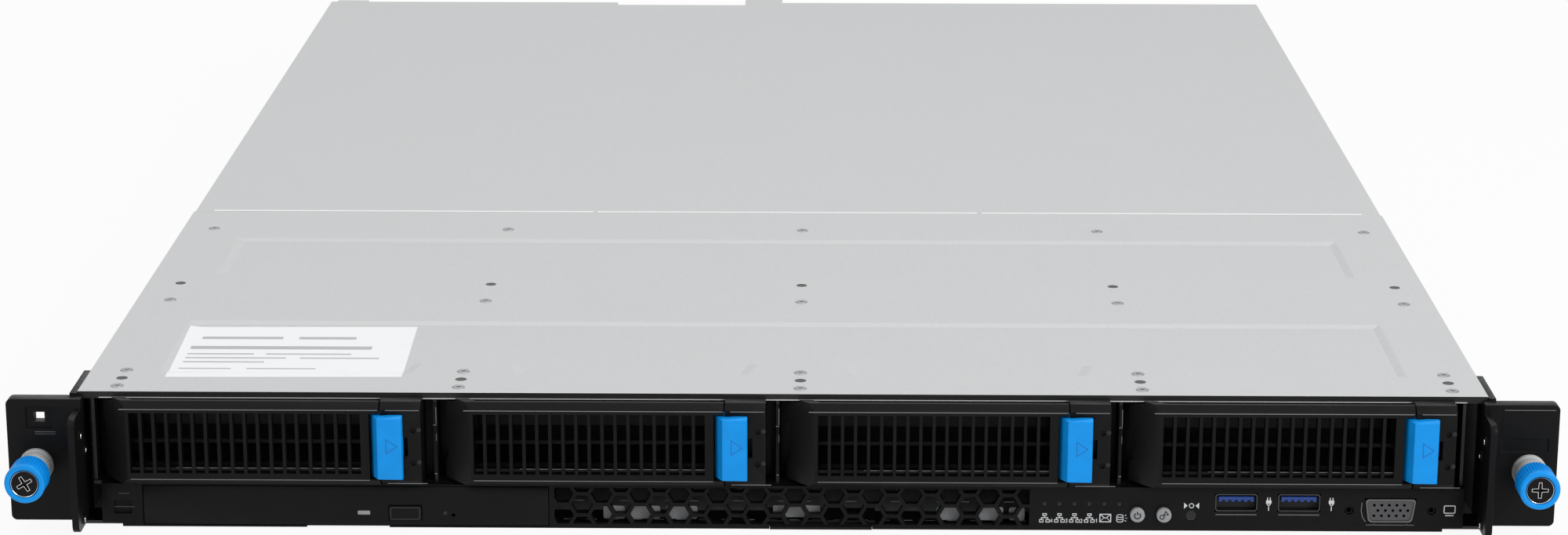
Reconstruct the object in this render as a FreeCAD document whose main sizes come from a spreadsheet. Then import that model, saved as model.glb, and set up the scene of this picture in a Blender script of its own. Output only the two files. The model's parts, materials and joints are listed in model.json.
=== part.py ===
"""Four-bay 1u rack server, modelled as an assembly of separate pieces.

Frame: X points to the right of the front face, Y to the rear and Z up. The origin lies on the
underside, midway between the sides, in the plane of the rack ears' rear faces. Lengths are in
millimetres and angles in degrees.
"""
import FreeCAD, Part
import math
import os
import re

import Sketcher

SIZES = {
    # case
    "case_width": 439.5, "case_height": 43.6, "case_length": 615.5, "sheet": 1.0,
    "fit_gap": 0.3, "running_gap": 0.1, "seat_gap": 0.15,
    # top covers
    "seam_y": 222.0, "seam_gap": 0.5, "rear_cover_inset": 0.5, "cover_overhang": 0.9,
    "emboss_depth": 0.8, "emboss_run": 2.6, "emboss_margin": 22.15,
    "emboss1_front": 20.3, "emboss1_rear": 79.0, "emboss2_front": 137.0, "emboss2_rear": 184.5,
    "land_depth": 10.7, "land_half": 14.0, "land_flare": 2.5,
    "cover_lip": 1.3, "cover_flange": 5.0, "cover_flange_rear": 400.0,
    "tab_right": -5.5, "tab_left": -22.9, "tab_reach": 12.0,
    "notch_left": -83.3, "notch_depth": 5.6, "bump_margin": 3.25, "bump_width": 14.6,
    "bump_reach": 3.3, "screw_flange_drop": 15.0,
    # rivets and small holes of the top
    "rivet_head_radius": 2.1, "rivet_head": 0.35,
    "rivet_from_wall": 7.0, "rivet_last_back": 3.2, "edge_rivet_y": 5.7, "row1_y": 22.4,
    "row2_y": 103.5, "row3_y": 197.5, "small_hole": 1.5, "hole_row1_y": 14.0,
    "hole_row2_y": 124.2,
    # drive cage
    "cage_left": 4.45, "cage_right": 7.05, "shelf_top": 14.2, "cage_front": 1.0,
    "cage_rear": 180.0, "cage_flange_rear": 205.0, "cage_flange": 11.0,
    # drive trays, from the walls of the bay
    "tray_left": 0.9, "tray_end": 3.7, "flat_left": 11.6, "lever_end": 16.7,
    "tray_face": 8.0, "tray_low": 15.3, "tray_high": 42.5, "tray_bevel": 2.0,
    "front_wall": 3.2, "lever_gap": 0.4, "wing_x": 2.9, "wing_y": 2.0, "wing_inset": 1.8,
    "slot_first": 12.6, "slot_pitch": 4.05, "slot_width": 3.0, "slot_low": 19.4,
    "slot_high": 39.0, "slot_margin": 4.0, "grid_bar": 1.2, "grid_mid": 28.0, "grid_low": 20.6,
    "grid_front": -1.5, "hinge_x": 7.2, "hinge_y": 1.0, "hinge_radius": 1.2,
    "barrel_radius": 2.4, "lug_radius": 1.9, "lug_low": 22.3, "lug_high": 33.7,
    "rail_width": 1.4, "rail_low": 14.5, "rail_high": 40.6, "block_front": 7.0,
    "tray_block": 14.0,
    "rail_short": 4.0,
    # blue latch of each tray
    "latch_start": 19.5, "latch_width": 10.2, "latch_low": 18.0, "latch_high": 38.8,
    "latch_proud": 2.6, "latch_bevel": 2.2, "latch_edge": 0.7, "latch_stroke": 3.4,
    "stem_start": 14.5, "stem_width": 3.2, "stem_low": 25.4, "stem_height": 6.0,
    "stem_depth": 5.0, "window_end": 6.2, "window_radius": 0.9,
    "window_high": 33.7, "window_low": 23.1,
    # hard drives
    "drive_side": 2.7, "drive_height": 26.1, "drive_length": 147.0, "drive_front": 22.0,
    "drive_lift": 0.7, "drive_step": 3.2, "drive_cut": 12.0,
    # backplane
    "backplane_gap": 2.0, "board_thick": 1.6, "backplane_top": 40.8,
    "connector_width": 42.0, "connector_height": 7.0, "connector_x": 36.0,
    "air_hole_width": 30.0, "air_hole_height": 9.0,
    # rack ears
    "ear_reach": 21.55, "ear_thick": 4.8, "ear_low": 2.8, "ear_high": 42.4, "ear_corner": 1.8,
    "leg_thick": 2.25, "leg_length": 27.0, "leg_notch": 4.0, "pull_inset": 1.85,
    "pull_thick": 2.1, "pull_front": 16.3, "pull_low": 2.0, "pull_high": 39.3,
    "pull_corner": 3.0, "ear_screw_out": 12.8, "ear_screw_z": 21.0, "ear_screw_hole": 3.2,
    "ear_slot_out": 11.45, "ear_slot_z": 36.4, "ear_slot_width": 3.4, "ear_slot_height": 3.2,
    "ear_pocket_width": 8.0, "ear_pocket_height": 7.0, "ear_pocket_depth": 0.8,
    "label_out": 11.25, "label_width": 14.4, "label_low": 27.2, "label_high": 39.6,
    "label_depth": 0.4,
    # thumbscrews of the ears
    "collar_radius": 5.4, "collar_tip": 4.6, "collar_length": 8.9, "knob_radius": 6.25,
    "knob_length": 10.3, "disc_radius": 4.27,
    "disc_thick": 2.4, "disc_sink": 0.3, "shank_radius": 2.4, "neck_radius": 2.1,
    "shank_reach": 8.0,
    "cross_arm": 2.6, "cross_width": 1.1, "cross_depth": 1.6,
    # lower front panel
    "panel_margin": 6.45, "panel_thick": 2.5, "panel_step": 1.3, "panel_step_in": 12.75,
    "lip_start": 51.1, "lip_width": 26.0, "lip_notch": 0.5,
    "side_slot_in": 10.25, "side_slot_width": 5.6, "side_slot_low": 4.2,
    "side_slot_height": 4.4, "side_slot_depth": 1.2,
    # perforated part of the panel
    "grille_gap": 1.5, "grille_in": 141.85, "grille_low": 1.2, "grille_rim": 0.3, "grille_high": 13.7,
    "hex_flats": 5.9, "hex_pitch": 7.05, "hex_column": 6.07, "hex_start": 3.0,
    "hex_even_z": 4.35,
    # optical drive
    "disc_margin": 19.55, "disc_width": 127.1, "disc_low": 0.8, "disc_high": 13.5,
    "disc_gap": 0.25, "disc_body_low": 1.2, "disc_body_high": 12.9, "disc_body_front": 0.5,
    "disc_length": 126.0, "disc_skin": 0.7, "disc_tray_low": 2.6,
    "disc_tray_high": 10.4, "disc_tray_length": 116.0,
    "disc_recess_depth": 3.0, "spindle_radius": 11.0, "spindle_height": 1.6,
    "disc_side_gap": 1.5, "eject_start": 77.1, "eject_width": 10.1, "eject_low": 2.4,
    "eject_high": 7.2, "eject_proud": 0.6, "pinhole_start": 97.2,
    "pinhole_z": 4.1, "pinhole": 0.55, "busy_start": 67.2, "busy_width": 3.9,
    "busy_low": 4.2, "busy_high": 5.5, "busy_depth": 0.5,
    # buttons, lights and sockets at the right of the panel
    "button_radius": 2.3, "button_proud": 1.3, "power_in": 108.35, "locator_in": 100.05,
    "button_z": 5.4, "button_flange": 3.0, "button_travel": 0.8, "button_stem": 5.2,
    "light_hole": 0.72, "light_in": 137.35, "light_pitch": 4.68, "light_z": 8.6,
    "light_count": 6, "beacon_in": 91.45, "beacon_z": 4.9, "beacon_hole": 1.7,
    "light_bar_depth": 3.0, "light_sink": 0.4,
    "usb1_in": 84.05, "usb2_in": 64.45, "usb_width": 13.2, "usb_low": 6.5,
    "usb_high": 12.2, "usb_depth": 14.0, "usb_skin": 0.4, "usb_tongue": 2.0,
    "vga_in": 37.25, "vga_width": 15.9, "vga_low": 3.2, "vga_high": 10.8,
    "vga_flange_half": 15.4, "vga_screw_half": 12.85, "vga_hole": 1.4, "vga_depth": 12.0,
    "vga_shell": 0.5, "vga_slant": 1.4, "vga_flange_top": 11.8,
    "io_board_low": 1.6, "io_board_in": 140.25, "io_board_out": 8.75, "io_board_front": 3.2,
    "io_board_rear": 62.0, "io_post": 3.0,
    # information tag
    "tag_left": -3.7, "tag_width": 32.0, "tag_low": 0.5, "tag_thick": 0.4,
    "tag_length": 72.0, "tag_lip": 1.4, "tag_gap": 0.1, "guide_wall": 1.0,
    # fans
    "fan_size": 40.0, "fan_depth": 28.0, "fan_margin": 9.75, "fan_gap": 9.0, "fan_count": 5,
    "fan_bore": 18.9, "fan_hub": 9.5, "blade_tip": 18.0, "blade_count": 5,
    "hub_nose": 1.5, "axle_radius": 2.5, "blade_thick": 1.2, "blade_chord": 16.0,
    "blade_rise": 3.0, "motor_plate": 2.4, "strut_width": 2.0, "bracket_in": 5.75,
    # main board and what stands on it
    "main_start": 4.5, "main_in": 7.75, "main_gap": 37.0, "main_back": 3.0,
    "main_low": 6.0, "post_radius": 3.2, "socket_half": 24.0, "socket_height": 5.0,
    "processor_across": 162.0, "processor_back": 104.0, "sink_half": 45.0, "sink_length": 92.0,
    "sink_base": 4.0, "sink_top": 39.2, "fin_thick": 1.0, "fin_pitch": 3.8, "fin_count": 23,
    "memory_across": 40.0, "memory_pitch": 9.6, "memory_count": 4, "memory_back": 42.0,
    "memory_socket_length": 141.0, "memory_socket_width": 6.4, "memory_socket_height": 8.6,
    "memory_length": 133.35, "memory_thick": 1.3, "memory_height": 30.0, "memory_slot": 1.5,
    "memory_seat": 2.4, "duct_start": 16.0, "duct_width": 208.0, "duct_back": 10.0,
    "duct_length": 186.0, "duct_wall": 1.4, "duct_top": 42.0,
    # rear ports, given from the left end of the row
    "ports_start": 8.0, "port_depth": 18.0, "port_proud": 0.8, "port_skin": 0.6,
    "usb_stack_width": 14.0, "usb_stack_height": 15.4, "lan_width": 16.2,
    "lan_height": 13.6, "port_space": 5.0, "port_cavity": 11.0,
    # expansion slots
    "slots_in": 138.0, "slot_cover_width": 64.0, "slot_cover_space": 6.0,
    "slot_cover_low": 25.0, "slot_cover_high": 40.0, "blank_thick": 1.0, "blank_lap": 1.6,
    # power supply
    "supply_margin": 3.75, "supply_width": 54.5, "supply_low": 1.3, "supply_high": 41.3,
    "supply_length": 198.0, "supply_proud": 2.0, "supply_space": 1.2,
    "handle_width": 7.5, "handle_reach": 22.0, "handle_bar": 5.0,
    "handle_from_left": 18.1, "handle_low": 6.0, "handle_high": 36.0, "inlet_left": 30.0,
    "inlet_width": 20.0, "inlet_low": 5.0, "inlet_height": 14.0, "inlet_depth": 9.0,
    "edge_left": 8.0, "edge_width": 38.0, "edge_length": 10.0, "edge_thick": 1.8,
    "edge_z": 9.0, "release_left": 6.0, "release_width": 6.0, "release_low": 24.0,
    "release_height": 10.0, "release_reach": 9.0, "power_board_gap": 15.5, "power_board_top": 40.0,
    "edge_gap": 1.5, "supply_wall_gap": 1.3, "supply_wall_lap": 4.0,
    # screw of the rear cover and rail holes in the sides
    "cover_screw_x": -14.2, "cover_screw_z": 34.5, "cover_screw_radius": 1.5,
    "cover_screw_head": 4.2, "cover_screw_length": 6.5, "cover_screw_reach": 5.0,
    "rail_hole": 2.1, "rail_hole_z": 21.8, "rail_hole_first": 60.0, "rail_hole_last": 45.5,
    "rail_hole_count": 4,
}

RULES = {
    # case
    "side": "case_width / 2",
    "inside": "case_width / 2 - sheet",
    "cover_end": "case_length + cover_overhang",
    "emboss_half": "side - emboss_margin",
    "bump_left": "bump_margin - side",
    "bump_right": "bump_left + bump_width",
    "rail_hole_pitch": "(case_length - rail_hole_first - rail_hole_last) / (rail_hole_count - 1)",
    # drive bays
    "bay_first": "cage_left - side",
    "bay_pitch": "(case_width - cage_left - cage_right) / 4",
    "tray_right": "bay_pitch - tray_end",
    "lever_right": "bay_pitch - lever_end",
    "latch_left": "bay_pitch - latch_start",
    "stem_left": "bay_pitch - stem_start",
    "window_x": "bay_pitch - window_end",
    "drive_width": "bay_pitch - 2 * drive_side",
    "tray_rear": "cage_rear - rail_short",
    "backplane_y": "cage_rear + backplane_gap",
    # rack ears
    "ear_half": "side + ear_reach",
    "pull_inner": "side - pull_inset",
    "ear_screw_x": "side + ear_screw_out",
    "ear_slot_x": "side + ear_slot_out",
    "label_x": "side + label_out",
    # front panel, from its two ends
    "panel_half": "side - panel_margin",
    "panel_step_x": "side - panel_step_in",
    "side_slot_left": "side_slot_in - side",
    "disc_left": "disc_margin - side",
    "disc_right": "disc_left + disc_width",
    "lip_left": "disc_left + lip_start",
    "lip_right": "lip_left + lip_width",
    "eject_left": "disc_left + eject_start",
    "eject_right": "eject_left + eject_width",
    "pinhole_x": "disc_left + pinhole_start",
    "busy_left": "disc_left + busy_start",
    "busy_right": "busy_left + busy_width",
    "grille_left": "disc_right + grille_gap",
    "grille_right": "side - grille_in",
    "hex_first_x": "grille_left + hex_start",
    "light_first": "side - light_in",
    "power_x": "side - power_in",
    "locator_x": "side - locator_in",
    "beacon_x": "side - beacon_in",
    "usb1_left": "side - usb1_in",
    "usb2_left": "side - usb2_in",
    "vga_left": "side - vga_in",
    "vga_right": "vga_left + vga_width",
    "io_board_left": "side - io_board_in",
    "io_board_right": "side - io_board_out",
    "tag_right": "tag_left + tag_width",
    # inside
    "fan_pitch": "(case_width - 2 * fan_margin) / fan_count",
    "fan_y": "seam_y + fan_gap",
    "bracket_half": "side - bracket_in",
    "hub_length": "fan_depth - sheet - motor_plate - fit_gap",
    "supply_left": "supply_margin - side",
    "supply_rear": "case_length + supply_proud",
    "supply_front": "supply_rear - supply_length",
    "supply_wall_x": "supply_left + 2 * supply_width + supply_space + supply_wall_gap",
    "power_board_y": "supply_front - power_board_gap",
    "supply_wall_front": "power_board_y - supply_wall_lap",
    "main_left": "supply_wall_x + main_start",
    "main_right": "side - main_in",
    "main_front": "fan_y + fan_depth + main_gap",
    "main_rear": "case_length - main_back",
    "processor_x": "main_left + processor_across",
    "processor_y": "main_front + processor_back",
    "memory_first_x": "main_left + memory_across",
    "memory_y": "main_front + memory_back",
    "duct_left": "main_left + duct_start",
    "duct_right": "duct_left + duct_width",
    "duct_front": "main_front + duct_back",
    "duct_rear": "duct_front + duct_length",
    "ports_left": "main_left + ports_start",
    "slot1_left": "main_right - slots_in",
}

doc = FreeCAD.newDocument("rack_server")
sheet = doc.addObject("Spreadsheet::Sheet", "Dims")
for row, (alias, length) in enumerate(SIZES.items(), 1):
    sheet.set(f"A{row}", alias)
    sheet.set(f"B{row}", str(length))
    sheet.setAlias(f"B{row}", alias)
doc.recompute()

NORMAL = {"XY": 1, "XZ": -1, "YZ": 1}
pieces = []


def bound(rule):
    """Turn a sizing rule's names into references to the sheet, through the rules they follow."""
    def follow(word):
        if word[0] in RULES:
            return f"({bound(RULES[word[0]])})"
        return f"Dims.{word[0]}" if word[0] in SIZES else word[0]
    return re.sub(r"[a-z_][a-z0-9_]*", follow, str(rule))


def size(rule):
    """Work out a sizing rule as a number."""
    return float(sheet.evalExpression(bound(rule)))


def bind(thing, **rules):
    for name, rule in rules.items():
        thing.setExpression(name, bound(rule))
    return thing


def put(thing, x="0", y="0", z="0"):
    """Bind where a piece stands."""
    for axis, rule in zip("xyz", (x, y, z)):
        thing.setExpression(f"Placement.Base.{axis}", bound(rule))
    return thing


def piece(label, thing):
    """Name a finished piece and list it for export."""
    thing.Label = label
    pieces.append(thing)
    return thing


def box(x, y, z):
    """A block between pairs of coordinates."""
    solid = doc.addObject("Part::Box", "block")
    bind(solid, Length=f"({x[1]}) - ({x[0]})", Width=f"({y[1]}) - ({y[0]})",
         Height=f"({z[1]}) - ({z[0]})")
    return put(solid, x[0], y[0], z[0])


def rod(start, radius, length):
    """A round bar that runs to the rear from its start."""
    solid = bind(doc.addObject("Part::Cylinder", "rod"), Radius=radius, Height=length)
    solid.Placement.Rotation = FreeCAD.Rotation(FreeCAD.Vector(1, 0, 0), -90)
    return put(solid, *start)


def fuse(*solids):
    joined = doc.addObject("Part::MultiFuse", "fuse")
    joined.Shapes = list(solids)
    joined.Refine = True
    return joined


def cut(base, *tools):
    carved = doc.addObject("Part::Cut", "cut")
    carved.Base = base
    carved.Tool = tools[0] if len(tools) == 1 else group(*tools)
    carved.Refine = True
    return carved


def group(*solids):
    together = doc.addObject("Part::Compound", "group")
    together.Links = list(solids)
    return together


def rect(x0, x1, y0, y1):
    return [(x0, y0), (x1, y0), (x1, y1), (x0, y1)]


def circle(x, y, radius):
    return {"centre": (x, y), "radius": radius}


def ring_of(x, y, radius, sides):
    """Outline of an even-sided shape with a flat on either side."""
    turns = [math.pi * (2 * i + 1) / sides for i in range(sides)]
    return [(f"{x} + {math.cos(turn) / math.cos(math.pi / sides):.6f} * ({radius})",
             f"{y} + {math.sin(turn) / math.cos(math.pi / sides):.6f} * ({radius})")
            for turn in turns]


class Body:
    """A PartDesign body whose sketches lie on planes parallel to its own origin planes."""

    def __init__(self):
        self.body = doc.addObject("PartDesign::Body", "body")
        self.last = None

    def origin(self, role):
        return [part for part in self.body.Origin.OriginFeatures if part.Role == role][0]

    def sketch(self, plane, level, outlines):
        drawing = self.body.newObject("Sketcher::SketchObject", "outline")
        drawing.AttachmentSupport = (self.origin(f"{plane}_Plane"), [""])
        drawing.MapMode = "FlatFace"
        bind(drawing, **{"AttachmentOffset.Base.z": f"{NORMAL[plane]} * ({level})"})
        for outline in outlines:
            if isinstance(outline, dict):
                self.draw_circle(drawing, outline)
            else:
                self.draw_polygon(drawing, outline)
        return drawing

    def hold(self, drawing, element, point, place):
        """Tie one point of the drawing to its coordinates."""
        for kind, rule in zip(("DistanceX", "DistanceY"), place):
            index = drawing.addConstraint(
                Sketcher.Constraint(kind, -1, 1, element, point, size(rule)))
            drawing.setExpression(f"Constraints[{index}]", bound(rule))

    def draw_circle(self, drawing, outline):
        centre = FreeCAD.Vector(*map(size, outline["centre"]))
        up = FreeCAD.Vector(0, 0, 1)
        ring = drawing.addGeometry(Part.Circle(centre, up, size(outline["radius"])), False)
        index = drawing.addConstraint(
            Sketcher.Constraint("Radius", ring, size(outline["radius"])))
        drawing.setExpression(f"Constraints[{index}]", bound(outline["radius"]))
        self.hold(drawing, ring, 3, outline["centre"])

    def draw_polygon(self, drawing, outline):
        corners = [FreeCAD.Vector(size(x), size(y)) for x, y in outline]
        count = len(corners)
        first = drawing.GeometryCount
        for i in range(count):
            drawing.addGeometry(Part.LineSegment(corners[i], corners[(i + 1) % count]), False)
        for i in range(count):
            following = first + (i + 1) % count
            drawing.addConstraint(
                Sketcher.Constraint("Coincident", first + i, 2, following, 1))
        for i, corner in enumerate(outline):
            self.hold(drawing, first + i, 1, corner)

    def feature(self, kind, plane, span, outlines, away):
        made = self.body.newObject(f"PartDesign::{kind}", kind.lower())
        made.Profile = self.sketch(plane, span[0], outlines)
        made.Reversed = away
        bind(made, Length=f"({span[1]}) - ({span[0]})")
        self.last = made
        return self

    def pad(self, plane, span, *outlines):
        return self.feature("Pad", plane, span, outlines, NORMAL[plane] < 0)

    def pocket(self, plane, span, *outlines):
        return self.feature("Pocket", plane, span, outlines, NORMAL[plane] > 0)

    def loft(self, kind, plane, low, high):
        """A ruled loft between two outlines, each given as its level and its corners."""
        made = self.body.newObject(f"PartDesign::{kind}Loft", "loft")
        made.Profile = self.sketch(plane, low[0], [low[1]])
        made.Sections = [self.sketch(plane, high[0], [high[1]])]
        made.Ruled = True
        self.last = made
        return self

    def row(self, axis, pitch, count):
        """Repeat the last feature along an axis."""
        made = self.body.newObject("PartDesign::LinearPattern", "row")
        made.Originals = [self.last]
        made.Direction = (self.origin(f"{axis}_Axis"), [""])
        made.Occurrences = int(size(count))
        bind(made, Length=f"({pitch}) * ({size(count) - 1:.0f})")
        self.body.Tip = made
        return self

    def ring(self, axis, count):
        """Repeat the last feature around an axis."""
        made = self.body.newObject("PartDesign::PolarPattern", "ring")
        made.Originals = [self.last]
        made.Axis = (self.origin(f"{axis}_Axis"), [""])
        made.Angle = 360
        made.Occurrences = int(size(count))
        self.body.Tip = made
        return self

    def edges(self, chosen):
        doc.recompute()
        shape = self.body.Tip.Shape
        return [f"Edge{i}" for i, edge in enumerate(shape.Edges, 1) if chosen(edge)]

    def dress(self, kind, amount, chosen):
        names = self.edges(chosen)
        base = self.body.Tip
        made = self.body.newObject(f"PartDesign::{kind}", kind.lower())
        made.Base = (base, names)
        bind(made, **{"Radius" if kind == "Fillet" else "Size": amount})
        return self


def runs(edge, axis):
    """Whether an edge is a straight one along an axis."""
    start, end = edge.firstVertex().Point, edge.lastVertex().Point
    course = end - start
    return edge.Curve.TypeId == "Part::GeomLine" and abs(getattr(course, axis)) > 0.999 * course.Length


def near(value, rule):
    return abs(value - size(rule)) < 0.01


TOP = "(case_height - sheet)"


# Chassis

def chassis_base():
    """The pan that everything stands in: floor, sides, supply wall and standoffs."""
    floor = Body()
    floor.pad("XY", ("0", "sheet"), rect("-inside", "inside", "0", "case_length - sheet"))
    left, right = "tag_left - tag_gap", "tag_right + tag_gap"
    floor.pocket("XY", ("tag_low - tag_gap", "2 * sheet"),
                 rect(left, right, "-sheet", "tag_length + tag_gap"))
    floor.pad("XY", ("sheet", "sheet + guide_wall"),
              rect(f"{left} - guide_wall", f"{right} + guide_wall", "0",
                   "tag_length + tag_gap + guide_wall"))
    solids = [floor.body]
    for span in (("-side", "-inside"), ("inside", "side")):
        wall = Body()
        wall.pad("YZ", span, rect("0", "case_length", "0", TOP))
        wall.pocket("YZ", (f"{span[0]} - sheet", f"{span[1]} + sheet"),
                    *[circle(f"rail_hole_first + {i} * rail_hole_pitch", "rail_hole_z",
                             "rail_hole") for i in range(int(size("rail_hole_count")))])
        solids.append(wall.body)
    solids += [standoff(x, y, "main_low", "post_radius") for x, y in main_posts()]
    solids += [standoff(x, y, "io_board_low", "io_post") for x, y in io_posts()]
    solids.append(box(("supply_wall_x - sheet", "supply_wall_x"),
                      ("supply_wall_front", "case_length - sheet"),
                      ("sheet", f"{TOP} - fit_gap")))
    solids.append(box(("-inside", "supply_left + edge_left - 2 * sheet"),
                      ("power_board_y + board_thick", "power_board_y + board_thick + sheet"),
                      ("sheet", "power_board_top / 2")))
    return piece("chassis_base", group(*solids))


def standoff(x, y, top, radius):
    """A hexagonal spacer pressed into the floor."""
    spacer = doc.addObject("Part::Prism", "spacer")
    spacer.Polygon = 6
    bind(spacer, Circumradius=radius, Height=f"({top}) - sheet")
    return put(spacer, x, y, "sheet")


def rear_wall():
    """The wall with the openings for supplies, ports and expansion slots."""
    wall = Body()
    span = ("case_length - sheet", "case_length")
    wall.pad("XZ", span, rect("-inside", "inside", "0", TOP))
    supply = [rect(f"supply_left - fit_gap + {bay} * {SUPPLY_PITCH}",
                   f"supply_left + fit_gap + {bay} * {SUPPLY_PITCH} + supply_width",
                   "supply_low - fit_gap / 2", "supply_high + fit_gap") for bay in (0, 1)]
    ports = [rect(f"{left} - fit_gap", f"{left} + {width} + fit_gap",
                  f"{MAIN_TOP} - fit_gap", f"{MAIN_TOP} + {height} + fit_gap")
             for left, width, height in port_row()]
    slots = [rect(f"{left} + blank_lap", f"{left} + slot_cover_width - blank_lap",
                  "slot_cover_low + blank_lap", "slot_cover_high - blank_lap")
             for left in slot_lefts()]
    screw = ring_of("cover_screw_x", "cover_screw_z", "cover_screw_radius + 2 * running_gap", 8)
    wall.pocket("XZ", ("case_length - 2 * sheet", "case_length + sheet"),
                *supply, *ports, *slots, screw)
    return piece("rear_wall", wall.body)


MAIN_TOP = "(main_low + board_thick)"


def main_posts():
    columns = ["main_left + 2 * post_radius", "(main_left + main_right) / 2",
               "main_right - 2 * post_radius"]
    rows = ["main_front + 2 * post_radius", "(main_front + main_rear) / 2 + 3 * post_radius",
            "main_rear - 6 * post_radius"]
    return [(x, y) for x in columns for y in rows]


def io_posts():
    return [(x, y) for x in ("io_board_left + 1.5 * io_post", "io_board_right - 1.5 * io_post")
            for y in ("io_board_front + 6 * io_post", "io_board_rear - 1.5 * io_post")]


def port_row():
    """The rear ports from left to right, each as its left side, width and height."""
    widths = [("usb_stack_width", "usb_stack_height"), ("usb_stack_width", "usb_stack_height"),
              ("lan_width", "lan_height"), ("lan_width", "lan_height"),
              ("lan_width", "lan_height")]
    left = "ports_left"
    row = []
    for width, height in widths:
        row.append((left, width, height))
        left = f"{left} + {width} + port_space"
    return row


def slot_lefts():
    return [f"slot1_left + {i} * (slot_cover_width + slot_cover_space)" for i in (0, 1)]


def rivet_columns():
    """Where the cage's flanges are riveted to the cover, from left to right."""
    walls = [f"bay_first + {i} * bay_pitch" for i in range(5)]
    return [f"{wall} + rivet_from_wall" for wall in walls[:4]] + [f"{walls[4]} - rivet_last_back"]


def front_top_cover():
    """The fixed cover over the drive cage, with two pressed panels and its small holes."""
    cover = Body()
    cover.pad("XY", (TOP, "case_height"), rect("-side", "side", "0", "seam_y"))
    panels = [(("emboss1_front", "emboss1_rear"), rivet_columns()[1:4]),
              (("emboss2_front", "emboss2_rear"), [])]
    for span, lands in panels:
        outer, inner = emboss(span, lands, "0"), emboss(span, lands, "emboss_run")
        cover.loft("Additive", "XY", (TOP, outer), (f"{TOP} - emboss_depth", inner))
        cover.loft("Subtractive", "XY", ("case_height", outer),
                   ("case_height - emboss_depth", inner))
    holes = [ring_of(x, y, "small_hole", 8) for x in rivet_columns()
             for y in ("hole_row1_y", "hole_row2_y")]
    cover.pocket("XY", (f"{TOP} - sheet", "case_height + sheet"), *holes)
    cover.pad("XY", (f"{TOP} - cover_lip", TOP),
              rect("fit_gap - inside", "inside - fit_gap", "0", "cage_front - fit_gap / 2"))
    return piece("front_top_cover", cover.body)


def emboss(span, lands, inset):
    """Outline of a pressed panel, drawn in by an inset, that leaves a land round each rivet."""
    front, rear = f"{span[0]} + {inset}", f"{span[1]} - {inset}"
    deep = f"{span[0]} + land_depth + {inset}"
    wide, narrow = f"(land_half + land_flare + {inset})", f"(land_half + {inset})"
    corners = [(f"-emboss_half + {inset}", front)]
    for x in lands:
        corners += [(f"{x} - {wide}", front), (f"{x} - {narrow}", deep),
                    (f"{x} + {narrow}", deep), (f"{x} + {wide}", front)]
    return corners + [(f"emboss_half - {inset}", front), (f"emboss_half - {inset}", rear),
                      (f"-emboss_half + {inset}", rear)]


def cover_rivets():
    """Heads of the rivets between the front cover and the cage's flanges."""
    heads = []
    for x in rivet_columns():
        for y in ("edge_rivet_y", "row1_y", "row2_y", "row3_y"):
            head = doc.addObject("Part::Prism", "head")
            head.Polygon = 6
            bind(head, Circumradius="rivet_head_radius", Height="rivet_head")
            heads.append(put(head, x, y, "case_height"))
    return piece("cover_rivets", group(*heads))


def rear_cover():
    """The cover over fans and boards, which slides to the rear to come off."""
    half, front, rear = "(side - rear_cover_inset)", "(seam_y + seam_gap)", "cover_end"
    cover = Body()
    cover.pad("XY", (TOP, "case_height"), [
        (f"-{half}", front), (half, front), (half, rear), ("tab_right", rear),
        ("tab_right", f"{rear} + tab_reach"), ("tab_left", f"{rear} + tab_reach"),
        ("tab_left", f"{rear} - notch_depth"), ("notch_left", f"{rear} - notch_depth"),
        ("notch_left", rear), ("bump_right", rear), ("bump_right", f"{rear} + bump_reach"),
        ("bump_left", f"{rear} + bump_reach"), ("bump_left", rear), (f"-{half}", rear)])
    cover.pad("XY", (f"{TOP} - screw_flange_drop", TOP),
              rect("tab_left", "tab_right", "cover_end", "cover_end + sheet"))
    cover.pocket("XZ", ("cover_end - sheet", "cover_end + 2 * sheet"), ring_of(
        "cover_screw_x", "cover_screw_z", "cover_screw_radius + 2 * running_gap", 8))
    guides = [box(span, ("seam_y + 5 * cover_flange", "cover_flange_rear"),
                  (f"{TOP} - cover_flange", TOP))
              for span in (("fit_gap - inside", "fit_gap - inside + sheet"),
                           ("inside - fit_gap - sheet", "inside - fit_gap"))]
    return piece("rear_cover", group(cover.body, *guides))


def cover_thumbscrew():
    """Captive screw that holds the rear cover to the rear wall."""
    place = ("cover_screw_x", "cover_screw_z")
    seat = "(cover_end + sheet)"
    screw = Body()
    screw.pad("XZ", ("case_length - cover_screw_reach", seat),
              ring_of(*place, "cover_screw_radius", 8))
    screw.pad("XZ", (seat, f"{seat} + cover_screw_length"), circle(*place, "cover_screw_head"))
    return piece("cover_thumbscrew", screw.body)


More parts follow.
